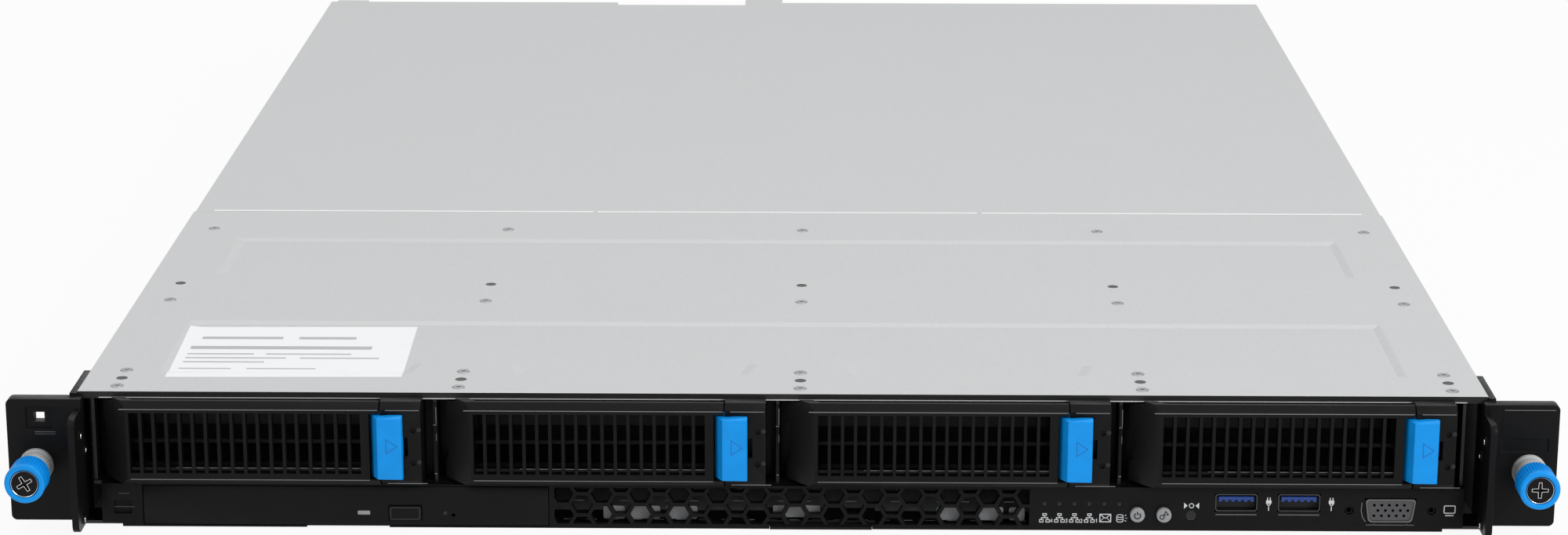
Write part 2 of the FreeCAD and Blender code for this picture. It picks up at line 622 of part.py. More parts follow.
def drive_cage():
    """Shelf, walls and riveting flanges that make the four drive bays."""
    cage = Body()
    right_end = "bay_first + 4 * bay_pitch"
    cage.pad("XY", ("shelf_top - sheet", "shelf_top"),
             rect("bay_first - sheet / 2", f"{right_end} + sheet / 2", "0", "cage_flange_rear"))
    walls = [f"bay_first + {i} * bay_pitch" for i in range(5)]
    cage.pad("XY", ("shelf_top", TOP),
             *[rect(f"{x} - sheet / 2", f"{x} + sheet / 2", "cage_front", "cage_rear")
               for x in walls])
    flanges = [rect(f"{x} - sheet / 2", f"{x} + cage_flange", "cage_front", "cage_flange_rear")
               for x in walls[:4]]
    last = rect(f"{right_end} - cage_flange", f"{right_end} + sheet / 2", "cage_front",
                "cage_flange_rear")
    cage.pad("XY", (f"{TOP} - sheet", TOP), *flanges, last)
    for span in (("emboss1_front", "emboss1_rear"), ("emboss2_front", "emboss2_rear")):
        cage.pocket("XY", (f"{TOP} - emboss_depth - fit_gap / 3", "case_height"),
                    rect("-emboss_half - fit_gap", "emboss_half + fit_gap",
                         f"{span[0]} - fit_gap", f"{span[1]} + fit_gap"))
    return piece("drive_cage", cage.body)


# Rack ears

def rack_ear(side, name):
    """A cast ear: mounting plate, leg along the chassis side and pull flange at the front."""
    def across(near, far):
        """Order a pair of distances from the middle for the side that the ear is on."""
        return (near, far) if side > 0 else (f"-({far})", f"-({near})")

    ear = Body()
    outer = across("pull_inner", "ear_half")
    ear.pad("XZ", ("-ear_thick", "0"), rect(*outer, "ear_low", "ear_high"))
    ear.pad("XY", ("ear_low", "case_height - fit_gap"),
            rect(*across("side", "side + leg_thick"), "-sheet", "leg_length"))
    ear.pad("XY", ("pull_low", "pull_high"),
            rect(*across("pull_inner", "pull_inner + pull_thick"), "-pull_front",
                 "-ear_thick / 2"))
    ear.pocket("YZ", across("side - leg_thick", "side + 2 * leg_thick"),
               rect("leg_length - leg_notch", "leg_length + sheet", "case_height - leg_notch",
                    "case_height"))
    middle = across("ear_screw_x", "ear_screw_x")[0]
    ear.pocket("XZ", ("-ear_thick - sheet", "sheet"),
               ring_of(middle, "ear_screw_z", "ear_screw_hole", 8))
    if side < 0:
        pocket = centred("-ear_slot_x", "ear_slot_z", "ear_pocket_width", "ear_pocket_height")
        slot = centred("-ear_slot_x", "ear_slot_z", "ear_slot_width", "ear_slot_height")
        ear.pocket("XZ", ("-ear_thick - sheet", "ear_pocket_depth - ear_thick"), pocket)
        ear.pocket("XZ", ("-ear_thick - sheet", "sheet"), slot)
    else:
        label = rect("label_x - label_width / 2", "label_x + label_width / 2", "label_low",
                     "label_high")
        ear.pocket("XZ", ("-ear_thick - sheet", "label_depth - ear_thick"), label)
    ear.dress("Fillet", "ear_corner", lambda edge: runs(edge, "y") and near(
        abs(edge.CenterOfMass.x), "ear_half"))
    ear.dress("Fillet", "pull_corner", lambda edge: runs(edge, "x") and near(
        edge.CenterOfMass.y, "-pull_front"))
    return piece(name, ear.body)


def centred(x, y, width, height):
    return rect(f"{x} - {width} / 2", f"{x} + {width} / 2", f"{y} - {height} / 2",
                f"{y} + {height} / 2")


KNOB_FRONT = "(ear_thick + collar_length + knob_length)"


def screw_collars():
    """Metal collars pressed on the ears, which guide the captive screws."""
    collars = []
    for side in ("-", ""):
        place = (f"{side}ear_screw_x", "ear_screw_z")
        front, rear = "-ear_thick - collar_length", "-ear_thick"
        collar = Body()
        collar.loft("Additive", "XZ", (front, ring_of(*place, "collar_tip", 16)),
                    (rear, ring_of(*place, "collar_radius", 16)))
        collar.pocket("XZ", (f"{front} - sheet", rear),
                      ring_of(*place, "shank_radius + running_gap", 8))
        collars.append(collar.body)
    return piece("screw_collars", group(*collars))


def thumbscrew(side, name):
    """A ribbed plastic knob on a metal screw with a crossed head."""
    knob = Body()
    knob.pad("XZ", (f"-{KNOB_FRONT}", "-ear_thick - collar_length - running_gap"),
             ring_of("0", "0", "knob_radius", 24))
    knob.pocket("XZ", (f"-{KNOB_FRONT} - sheet", f"disc_thick - {KNOB_FRONT}"),
                ring_of("0", "0", "disc_radius + running_gap", 16))
    knob.pocket("XZ", (f"-{KNOB_FRONT} - sheet", "0"),
                ring_of("0", "0", "neck_radius + running_gap / 2", 8))
    put(knob.body, f"{side}ear_screw_x", "0", "ear_screw_z")
    piece(f"{name}_knob", knob.body)

    screw = Body()
    screw.pad("XZ", (f"disc_sink - {KNOB_FRONT}", f"disc_thick - {KNOB_FRONT}"),
              ring_of("0", "0", "disc_radius", 16))
    screw.pad("XZ", (f"disc_thick - {KNOB_FRONT}", "0"), ring_of("0", "0", "neck_radius", 8))
    screw.pad("XZ", ("0", "shank_reach"), circle("0", "0", "shank_radius"))
    arm, half = "cross_arm", "cross_width / 2"
    screw.pocket("XZ", (f"-{KNOB_FRONT}", f"cross_depth - {KNOB_FRONT}"), [
        (arm, f"-{half}"), (arm, half), (half, half), (half, arm), (f"-{half}", arm),
        (f"-{half}", half), (f"-{arm}", half), (f"-{arm}", f"-{half}"),
        (f"-{half}", f"-{half}"), (f"-{half}", f"-{arm}"), (half, f"-{arm}"),
        (half, f"-{half}")])
    put(screw.body, f"{side}ear_screw_x", "0", "ear_screw_z")
    piece(f"{name}_screw", screw.body)


# Lower front panel

def front_panel():
    """The painted panel under the drive bays, with a window for each control."""
    panel = Body()
    panel.pad("XZ", ("-panel_thick", "0"), [
        ("-panel_half", "panel_step"), ("-panel_step_x", "panel_step"), ("-panel_step_x", "0"),
        ("panel_step_x", "0"), ("panel_step_x", "panel_step"), ("panel_half", "panel_step"),
        ("panel_half", "shelf_top"), ("-panel_half", "shelf_top")])
    through = ("-panel_thick - sheet", "sheet")
    lights = [ring_of(f"light_first + {i} * light_pitch", "light_z", "light_hole", 8)
              for i in range(int(size("light_count")))]
    buttons = [ring_of(x, "button_z", "button_radius + running_gap", 12)
               for x in ("power_x", "locator_x")]
    sockets = [rect(f"{left} - seat_gap", f"{left} + usb_width + seat_gap",
                    "usb_low - seat_gap", "usb_high + seat_gap")
               for left in ("usb1_left", "usb2_left")]
    studs = [ring_of(f"{VGA_X} {sign} vga_screw_half", VGA_Z, "vga_hole", 8) for sign in "+-"]
    panel.pocket("XZ", through,
                 rect("disc_left - disc_gap", "disc_right + disc_gap", "disc_low - disc_gap",
                      "disc_high + disc_gap"),
                 rect("grille_left", "grille_right", "grille_low", "grille_high"),
                 ring_of("beacon_x", "beacon_z", "beacon_hole", 8),
                 vga_outline("seat_gap"), *lights, *buttons, *sockets, *studs)
    panel.pocket("XZ", through, rect("lip_left", "lip_right", "-sheet", "lip_notch"))
    panel.pocket("XZ", through, rect("tag_left - tag_gap", "tag_right + tag_gap", "-sheet",
                                     "grille_low + grille_rim"))
    panel.pocket("XZ", ("-panel_thick - sheet", "side_slot_depth - panel_thick"),
                 rect("side_slot_left", "side_slot_left + side_slot_width", "side_slot_low",
                      "side_slot_low + side_slot_height"))
    return piece("front_panel", panel.body)


VGA_X = "((vga_left + vga_right) / 2)"
VGA_Z = "((vga_low + vga_high) / 2)"


def vga_outline(grow):
    """The slanted outline of the display socket, grown by a margin."""
    return [(f"vga_left + vga_slant - {grow}", f"vga_low - {grow}"),
            (f"vga_right - vga_slant + {grow}", f"vga_low - {grow}"),
            (f"vga_right + {grow}", f"vga_high + {grow}"),
            (f"vga_left - {grow}", f"vga_high + {grow}")]


def hexagon(x, z):
    """A hexagon with level top and bottom, cut off at the edges of the perforated plate."""
    reach = size("hex_flats") / math.sqrt(3)
    corners = []
    for i in range(6):
        turn = math.radians(60 * i)
        corners.append(FreeCAD.Vector(x + reach * math.cos(turn), 0, z + reach * math.sin(turn)))
    face = Part.Face(Part.makePolygon(corners + corners[:1]))
    return face.extrude(FreeCAD.Vector(0, -size("panel_thick"), 0))


def front_grille():
    """Perforated plate that lets air in below the bays."""
    low, high = size("grille_low"), size("grille_high")
    rim = size("grille_rim")
    left, right = size("grille_left"), size("grille_right")
    thick = size("panel_thick")
    plate = Part.makeBox(right - left, thick, high - low, FreeCAD.Vector(left, -thick, low))
    field = Part.makeBox(right - left - 2 * rim, thick, high - low - 2 * rim,
                         FreeCAD.Vector(left + rim, -thick, low + rim))
    holes = []
    columns = math.ceil((right - left) / size("hex_column"))
    for column in range(columns):
        x = size("hex_first_x") + column * size("hex_column")
        start = size("hex_even_z") - (column % 2) * size("hex_pitch") / 2
        holes += [hexagon(x, start + i * size("hex_pitch")) for i in range(-1, 3)]
    open_field = Part.makeCompound(holes).common(field)
    keep = [hole for hole in open_field.Solids if hole.Volume > thick]
    grille = doc.addObject("Part::Feature", "grille")
    grille.Shape = plate.cut(Part.makeCompound(keep))
    return piece("front_grille", grille)


def optical_drive():
    """Sheet-metal housing of the disc drive, open at the front."""
    shell = Body()
    span = ("disc_body_front", "disc_body_front + disc_length")
    shell.pad("XY", ("disc_body_low", "disc_body_high"), rect("disc_left", "disc_right", *span))
    shell.pocket("XY", ("disc_body_low + disc_skin", "disc_body_high - disc_skin"),
                 rect("disc_left + disc_skin", "disc_right - disc_skin", "0",
                      "disc_body_front + disc_length - disc_skin"))
    return piece("optical_drive", shell.body)


def disc_tray():
    """Tray of the disc drive with its bezel and spindle."""
    tray = Body()
    tray.pad("XZ", ("-panel_thick", "-seat_gap"),
             rect("disc_left", "disc_right", "disc_low", "disc_high"))
    left, right = "disc_left + disc_side_gap", "disc_right - disc_side_gap"
    tray.pad("XY", ("disc_tray_low", "disc_tray_high"),
             rect(left, right, "-seat_gap * 2", "disc_tray_length"))
    middle = ("(disc_left + disc_right) / 2", "disc_tray_length / 2")
    tray.pocket("XY", ("disc_tray_high - disc_recess_depth", "disc_tray_high + sheet"),
                ring_of(*middle, "disc_tray_length / 2 - disc_side_gap", 32))
    tray.pad("XY", ("disc_tray_high - disc_recess_depth", "disc_tray_high - disc_recess_depth"
                    " + spindle_height"), ring_of(*middle, "spindle_radius", 16))
    tray.pocket("XZ", ("-panel_thick - sheet", "sheet"),
                rect("eject_left - running_gap", "eject_right + running_gap",
                     "eject_low - running_gap", "eject_high + running_gap"))
    tray.pocket("XZ", ("-panel_thick - sheet", "busy_depth - panel_thick"),
                rect("busy_left", "busy_right", "busy_low", "busy_high"))
    tray.pocket("XZ", ("-panel_thick - sheet", "sheet"),
                ring_of("pinhole_x", "pinhole_z", "pinhole", 6))
    return piece("disc_tray", tray.body)


def eject_button():
    button = box(("eject_left", "eject_right"), ("-panel_thick - eject_proud", "-seat_gap"),
                 ("eject_low", "eject_high"))
    return piece("eject_button", button)


def front_buttons():
    """Two round push buttons, each with a square flange that keeps it behind the panel."""
    for name, x in (("power_button", "power_x"), ("locator_button", "locator_x")):
        cap = rod((x, "-panel_thick - button_proud", "button_z"), "button_radius",
                  "panel_thick + button_proud + fit_gap / 2 + button_travel")
        flange = box((f"{x} - button_flange", f"{x} + button_flange"),
                     ("fit_gap / 2", "fit_gap / 2 + button_travel"),
                     ("button_z - button_flange", "button_z + button_flange"))
        stem = box((f"{x} - button_radius / 2", f"{x} + button_radius / 2"),
                   ("fit_gap / 2", LIGHT_BACK),
                   ("button_z - button_radius / 2", "button_z + button_radius / 2"))
        piece(name, fuse(cap, flange, stem))


LIGHT_BACK = "(fit_gap / 2 + button_stem)"
IO_TOP = "(io_board_low + board_thick)"


def light_pipes():
    """Clear guides from the board to the panel's lights, moulded on two bars."""
    deep = ("light_sink - panel_thick", f"{LIGHT_BACK} + light_bar_depth")
    count = int(size("light_count"))
    groups = [("light_first", count, "light_z", "light_hole"),
              ("beacon_x", 1, "beacon_z", "beacon_hole")]
    bars = []
    for first, number, level, hole in groups:
        pipe = Body()
        pipe.pad("XY", (IO_TOP, f"{level} + {hole}"),
                 rect(f"{first} - 2 * {hole}", f"{first} + {number - 1} * light_pitch + 2 * {hole}",
                      LIGHT_BACK, deep[1]))
        pipe.pad("XZ", (deep[0], f"{LIGHT_BACK} + light_sink"),
                 *[ring_of(f"{first} + {i} * light_pitch", level, f"{hole} - running_gap", 8)
                   for i in range(number)])
        bars.append(pipe.body)
    return piece("light_pipes", group(*bars))


def front_io_board():
    """Small circuit board behind the front controls, with the two push switches."""
    board = box(("io_board_left", "io_board_right"), ("io_board_front", "io_board_rear"),
                ("io_board_low", IO_TOP))
    reach = f"({LIGHT_BACK} + button_travel + running_gap)"
    switches = [box((f"{x} - button_flange", f"{x} + button_flange"),
                    (reach, f"{reach} + button_stem"), (IO_TOP, "button_z + button_flange"))
                for x in ("power_x", "locator_x")]
    return piece("front_io_board", fuse(board, *switches))


def usb_ports():
    """Two sockets with their tongues, on raised feet of the small board."""
    sockets = []
    for left in ("usb1_left", "usb2_left"):
        across = (left, f"{left} + usb_width")
        deep = ("-panel_thick", "usb_depth - panel_thick")
        shell = box(across, deep, ("usb_low", "usb_high"))
        room = box((f"{left} + usb_skin", f"{left} + usb_width - usb_skin"),
                   ("-panel_thick", "usb_depth - panel_thick - usb_skin"),
                   ("usb_low + usb_skin", "usb_high - usb_skin"))
        tongue = box((f"{left} + 2 * usb_skin", f"{left} + usb_width - 2 * usb_skin"),
                     ("sheet - panel_thick", "usb_depth - panel_thick"),
                     ("usb_high - usb_skin - usb_tongue", "usb_high - usb_skin"))
        foot = box(across, ("io_board_front", "usb_depth - panel_thick"), (IO_TOP, "usb_low"))
        sockets.append(fuse(cut(shell, room), tongue, foot))
    return piece("usb_ports", group(*sockets))


def vga_port():
    """Display socket with its flange; the panel's two small holes give way to its screws."""
    port = Body()
    across = (f"{VGA_X} - vga_flange_half", f"{VGA_X} + vga_flange_half")
    port.pad("XZ", ("fit_gap / 2", "vga_shell + fit_gap / 2"),
             rect(*across, IO_TOP, "vga_flange_top"))
    port.pad("XZ", ("-panel_thick - vga_shell", "fit_gap / 2"), vga_outline("0"))
    port.pad("XZ", ("vga_shell + fit_gap / 2", "vga_depth"), rect(*across, IO_TOP, "vga_high"))
    return piece("vga_port", port.body)


def information_tag():
    """Pull-out card at the underside of the panel."""
    card = box(("tag_left", "tag_right"), ("-panel_thick", "tag_length"),
               ("tag_low", "tag_low + tag_thick"))
    lip = box(("tag_left", "tag_right"), ("-panel_thick - tag_lip / 2", "-panel_thick + tag_lip"),
              ("tag_gap", "grille_low - tag_gap"))
    return piece("information_tag", fuse(card, lip))


# Drive trays, drawn from the middle of the wall on the left of each bay

def bay_wall(bay):
    return f"bay_first + {bay} * bay_pitch"


SLOTS = int(size("(lever_right - slot_first - slot_margin) / slot_pitch"))
SLOTS_END = f"(slot_first + {SLOTS} * slot_pitch)"
HINGE = ("hinge_x", "hinge_y")


def tray_frame(bay):
    """Front block and rails of one tray, with the fixed right part of its face."""
    frame = Body()
    left, right = "tray_left", "(bay_pitch - tray_left)"
    fixed = ("lever_right + lever_gap", "tray_right")
    frame.pad("XY", ("tray_low", "tray_high"), rect(*fixed, "-tray_face", "-fit_gap"))
    frame.dress("Chamfer", "tray_bevel", lambda edge: runs(edge, "x") and near(
        edge.CenterOfMass.y, "-tray_face"))
    frame.pad("XY", ("rail_low + fit_gap * 3", "rail_high"),
              rect(*fixed, "-2 * fit_gap", "block_front + sheet"))
    frame.pad("XY", ("rail_low", "rail_high"), [
        (left, "block_front"), (right, "block_front"), (right, "tray_rear"),
        (f"{right} - rail_width", "tray_rear"), (f"{right} - rail_width", "tray_block"),
        (f"{left} + rail_width", "tray_block"), (f"{left} + rail_width", "tray_rear"),
        (left, "tray_rear")])
    frame.pocket("XZ", ("block_front - sheet", "tray_block + sheet"),
                 rect("slot_first", SLOTS_END, "slot_low", "slot_high"))
    frame.pad("XZ", ("grid_front", "tray_block"),
              *[rect("slot_first - grid_bar", f"{SLOTS_END} + grid_bar",
                     f"{middle} - grid_bar / 2", f"{middle} + grid_bar / 2")
                for middle in ("grid_mid", "grid_low")])
    frame.pad("XY", ("lug_low", "lug_high"),
              rect("hinge_x - running_gap", "hinge_x + lug_radius", "hinge_y",
                   "block_front + sheet"))
    frame.pad("XY", ("lug_low", "lug_high"), ring_of(*HINGE, "lug_radius", 8))
    pin_gap = "(hinge_radius + running_gap)"
    frame.pocket("XY", ("lug_low - sheet", "lug_high + sheet"),
                 rect(f"hinge_x - {pin_gap}", f"hinge_x + {pin_gap}", "hinge_y - 2 * lug_radius",
                      f"hinge_y + {pin_gap}"))
    windows = [ring_of("window_x", height, "window_radius", 8)
               for height in ("window_high", "window_low")]
    frame.pocket("XZ", ("-tray_face - sheet", "window_radius - tray_face"), *windows)
    frame.pocket("XZ", ("-tray_face - sheet", "stem_depth - tray_face"),
                 rect("stem_left - running_gap", "stem_left + stem_width + latch_stroke"
                      " + running_gap", "stem_low - running_gap",
                      "stem_low + stem_height + running_gap"))
    put(frame.body, bay_wall(bay))
    return piece(f"tray_frame_{bay + 1}", frame.body)


def tray_lever(bay):
    """Slotted front of one tray, which swings out on the pin at its left end."""
    lever = Body()
    back = "(front_wall - tray_face)"
    lever.pad("XY", ("tray_low", "tray_high"), [
        ("flat_left", "-tray_face"), ("lever_right", "-tray_face"), ("lever_right", back),
        ("flat_left + wing_inset", back), HINGE, ("wing_x + wing_inset", "wing_y + wing_inset"),
        ("wing_x", "wing_y")])
    lever.dress("Chamfer", "tray_bevel", lambda edge: runs(edge, "x") and near(
        edge.CenterOfMass.y, "-tray_face"))
    lever.pad("XY", ("tray_low", "rail_high"), ring_of(*HINGE, "barrel_radius", 8))
    lever.pocket("XY", ("rail_high + fit_gap", "case_height"),
                 rect("-barrel_radius", "hinge_x + 2 * barrel_radius", "-barrel_radius",
                      "hinge_y + 2 * barrel_radius"))
    notch = ("lug_low - fit_gap", "lug_high + fit_gap")
    lever.pocket("XY", notch, ring_of(*HINGE, "lug_radius + 2 * running_gap", 8))
    lever.pocket("XY", notch, rect("0", "hinge_x + 2 * barrel_radius", "hinge_y",
                                   "hinge_y + 2 * barrel_radius"))
    lever.pad("XY", notch, circle(*HINGE, "hinge_radius"))
    lever.pocket("XZ", ("-tray_face - sheet", "0"),
                 rect("latch_left - fit_gap", "lever_right + sheet", "latch_low - fit_gap",
                      "latch_high + fit_gap"))
    lever.pocket("XZ", ("-tray_face - sheet", f"{back} + sheet"),
                 rect("slot_first", "slot_first + slot_width", "slot_low", "slot_high"))
    lever.row("X", "slot_pitch", SLOTS)
    put(lever.body, bay_wall(bay))
    return piece(f"tray_lever_{bay + 1}", lever.body)


def tray_latch(bay):
    """Sliding button that frees the lever of one tray."""
    latch = Body()
    right = "latch_left + latch_width"
    front, rest = "-tray_face - latch_proud", "-tray_face - seat_gap"
    latch.pad("XY", ("latch_low", "latch_high"), [
        ("latch_left", rest), ("latch_left", f"{rest} - latch_edge"),
        ("latch_left + latch_bevel", front), (right, front), (right, rest)])
    latch.dress("Chamfer", "latch_edge", lambda edge: runs(edge, "x") and near(
        edge.CenterOfMass.y, front) and edge.CenterOfMass.z > size("grid_mid"))
    latch.pad("XZ", (rest, "stem_depth - tray_face - running_gap"),
              rect("stem_left", "stem_left + stem_width", "stem_low", "stem_low + stem_height"))
    put(latch.body, bay_wall(bay))
    return piece(f"tray_latch_{bay + 1}", latch.body)


def hard_drive(bay):
    """A drive with its stepped casting and the recess of its circuit board."""
    drive = Body()
    left, right = "bay_pitch / 2 - drive_width / 2", "bay_pitch / 2 + drive_width / 2"
    low, high = "shelf_top + drive_lift", "shelf_top + drive_lift + drive_height"
    rear = "drive_front + drive_length"
    drive.pad("XY", (low, high), rect(left, right, "drive_front", rear))
    drive.pocket("XY", (f"{high} - drive_step", f"{high} + sheet"),
                 rect(f"{left} - sheet", f"{right} + sheet", "drive_front - sheet",
                      "drive_front + drive_cut"),
                 rect(f"{left} - sheet", f"{right} + sheet", f"{rear} - drive_cut",
                      f"{rear} + sheet"))
    drive.dress("Chamfer", "drive_step", lambda edge: runs(edge, "z")
                and edge.Length < size("drive_height"))
    put(drive.body, bay_wall(bay))
    return piece(f"hard_drive_{bay + 1}", drive.body)


def backplane():
    """Board behind the bays, with air holes, and the drives' connectors on it."""
    board = Body()
    board.pad("XZ", ("backplane_y", "backplane_y + board_thick"),
              rect("bay_first + sheet", "bay_first + 4 * bay_pitch - sheet", "shelf_top",
                   "backplane_top"))
    board.pocket("XZ", ("backplane_y - sheet", "backplane_y + 2 * board_thick"), *[
        rect(f"{bay_wall(bay)} + {share} * bay_pitch - air_hole_width / 2",
             f"{bay_wall(bay)} + {share} * bay_pitch + air_hole_width / 2",
             "backplane_top - sheet * 3 - air_hole_height", "backplane_top - sheet * 3")
        for bay in range(4) for share in (0.25, 0.75)])
    low = "shelf_top + drive_lift + sheet"
    connectors = [box((f"{bay_wall(bay)} + connector_x - connector_width / 2",
                       f"{bay_wall(bay)} + connector_x + connector_width / 2"),
                      ("drive_front + drive_length + fit_gap", "backplane_y"),
                      (low, f"{low} + connector_height")) for bay in range(4)]
    return piece("backplane", group(board.body, *connectors))


# Fans

def fan_x(number):
    return f"({number} - ({size('fan_count'):.0f} - 1) / 2) * fan_pitch"


FAN_SIDES = 12
FAN_Z = "(2 * sheet + fan_size / 2)"


def fan_bracket():
    """Cross wall with a foot that holds the row of fans."""
    bracket = Body()
    half = "bracket_half"
    bracket.pad("XY", ("sheet", "2 * sheet"),
                rect(f"-{half}", half, "fan_y - sheet", "fan_y + fan_depth"))
    bracket.pad("XY", ("sheet", f"{TOP} - fit_gap"),
                rect(f"-{half}", half, "fan_y - sheet", "fan_y"))
    bracket.pocket("XZ", ("fan_y - 2 * sheet", "fan_y + sheet"),
                   *[ring_of(fan_x(i), FAN_Z, "fan_bore", FAN_SIDES)
                     for i in range(int(size("fan_count")))])
    return piece("fan_bracket", bracket.body)


def fan_housings():
    """Square fan frames, each with a duct, a motor plate and struts at the rear."""
    frames = []
    for i in range(int(size("fan_count"))):
        x = fan_x(i)
        fan = Body()
        plate = ("fan_y + fan_depth - motor_plate", "fan_y + fan_depth")
        fan.pad("XZ", ("fan_y", "fan_y + fan_depth"),
                centred(x, FAN_Z, "fan_size", "fan_size"))
        fan.pocket("XZ", ("fan_y - sheet", "fan_y + fan_depth + sheet"),
                   ring_of(x, FAN_Z, "fan_bore", FAN_SIDES))
        fan.pad("XZ", plate, centred(x, FAN_Z, "strut_width", "(2 * fan_bore + sheet)"))
        fan.pad("XZ", plate, centred(x, FAN_Z, "(2 * fan_bore + sheet)", "strut_width"))
        fan.pad("XZ", plate, ring_of(x, FAN_Z, "fan_hub", 8))
        frames.append(fan.body)
    return piece("fan_housings", group(*frames))


def fan_rotors():
    """Hub with an axle end and cambered blades, close before the fan's motor plate."""
    chord, rise = "blade_chord", "blade_rise"
    for i in range(int(size("fan_count"))):
        rotor = Body()
        rotor.pad("XZ", ("0", "hub_nose"), circle("0", "0", "axle_radius"))
        rotor.pad("XZ", ("hub_nose", "hub_length"),
                  ring_of("0", "0", "fan_hub", 2 * int(size("blade_count"))))
        start = "(hub_length + hub_nose - blade_chord) / 2"
        rotor.pad("XY", ("fan_hub - blade_thick", "blade_tip"), [
            (f"-{rise}", start), (f"{rise} / 3", f"{start} + {chord} / 2"),
            (rise, f"{start} + {chord}"), (f"{rise} - blade_thick", f"{start} + {chord}"),
            (f"{rise} / 3 - blade_thick", f"{start} + {chord} / 2"),
            (f"-{rise} - blade_thick", start)])
        rotor.ring("Y", "blade_count")
        put(rotor.body, fan_x(i), "fan_y + sheet", FAN_Z)
        piece(f"fan_rotor_{i + 1}", rotor.body)


# Boards

def motherboard():
    board = box(("main_left", "main_right"), ("main_front", "main_rear"),
                ("main_low", MAIN_TOP))
    return piece("motherboard", board)


def memory_x(number):
    return f"memory_first_x + {number} * memory_pitch"


def board_sockets():
    """Processor socket and memory sockets on the main board."""
    sockets = [box(("processor_x - socket_half", "processor_x + socket_half"),
                   ("processor_y - socket_half", "processor_y + socket_half"),
                   (MAIN_TOP, f"{MAIN_TOP} + socket_height"))]
    for i in range(int(size("memory_count"))):
        x = memory_x(i)
        body = box((f"{x} - memory_socket_width / 2", f"{x} + memory_socket_width / 2"),
                   ("memory_y", "memory_y + memory_socket_length"),
                   (MAIN_TOP, f"{MAIN_TOP} + memory_socket_height"))
        slot = box((f"{x} - memory_slot / 2", f"{x} + memory_slot / 2"),
                   (f"{MEMORY_Y} - running_gap", f"{MEMORY_Y} + memory_length + running_gap"),
                   (f"{MAIN_TOP} + memory_seat", f"{MAIN_TOP} + 2 * memory_socket_height"))
        sockets.append(cut(body, slot))
    return piece("board_sockets", group(*sockets))


MEMORY_Y = "(memory_y + (memory_socket_length - memory_length) / 2)"


def memory_modules():
    modules = [box((f"{memory_x(i)} - memory_thick / 2", f"{memory_x(i)} + memory_thick / 2"),
                   (MEMORY_Y, f"{MEMORY_Y} + memory_length"),
                   (f"{MAIN_TOP} + memory_seat", f"{MAIN_TOP} + memory_seat + memory_height"))
               for i in range(int(size("memory_count")))]
    return piece("memory_modules", group(*modules))


def heatsink():
    """Finned block on the processor."""
    sink = Body()
    base = f"{MAIN_TOP} + socket_height"
    span = ("processor_y - sink_length / 2", "processor_y + sink_length / 2")
    sink.pad("XY", (base, f"{base} + sink_base"),
             rect("processor_x - sink_half", "processor_x + sink_half", *span))
    first = "processor_x - (fin_count - 1) * fin_pitch / 2"
    sink.pad("XY", (f"{base} + sink_base", "sink_top"),
             rect(f"{first} - fin_thick / 2", f"{first} + fin_thick / 2", *span))
    sink.row("X", "fin_pitch", "fin_count")
    return piece("heatsink", sink.body)


def air_duct():
    """Plastic cover that leads air over memory and heatsink, open at both ends and below."""
    duct = Body()
    ends = ("duct_front", "duct_rear")
    duct.pad("XZ", ends, [
        ("duct_left", MAIN_TOP), ("duct_left + duct_wall", MAIN_TOP),
        ("duct_left + duct_wall", "duct_top - duct_wall"),
        ("duct_right - duct_wall", "duct_top - duct_wall"), ("duct_right - duct_wall", MAIN_TOP),
        ("duct_right", MAIN_TOP), ("duct_right", "duct_top"), ("duct_left", "duct_top")])
    return piece("air_duct", duct.body)


def rear_ports():
    """Sockets at the rear edge of the main board, each hollow towards the rear."""
    ports = []
    rear = "case_length + port_proud"
    for left, width, height in port_row():
        shell = box((left, f"{left} + {width}"), (f"{rear} - port_depth", rear),
                    (MAIN_TOP, f"{MAIN_TOP} + {height}"))
        room = box((f"{left} + port_skin", f"{left} + {width} - port_skin"),
                   (f"{rear} - port_cavity", f"{rear} + sheet"),
                   (f"{MAIN_TOP} + port_skin", f"{MAIN_TOP} + {height} - port_skin"))
        ports.append(cut(shell, room))
    return piece("rear_ports", group(*ports))


def rear_blanks():
    """Plates that close the spare power bay and the two expansion slots."""
    inside = ("case_length - sheet - blank_thick", "case_length - sheet")
    plates = [box((left, f"{left} + slot_cover_width"), inside,
                  ("slot_cover_low", "slot_cover_high")) for left in slot_lefts()]
    bay = f"supply_left + {SUPPLY_PITCH}"
    plates.append(box((f"{bay} - supply_space / 4", f"{bay} + supply_width + supply_space / 4"),
                      inside, ("sheet", "supply_high + supply_space")))
    return piece("rear_blanks", group(*plates))


# Power supply

SUPPLY_PITCH = "(supply_width + supply_space)"


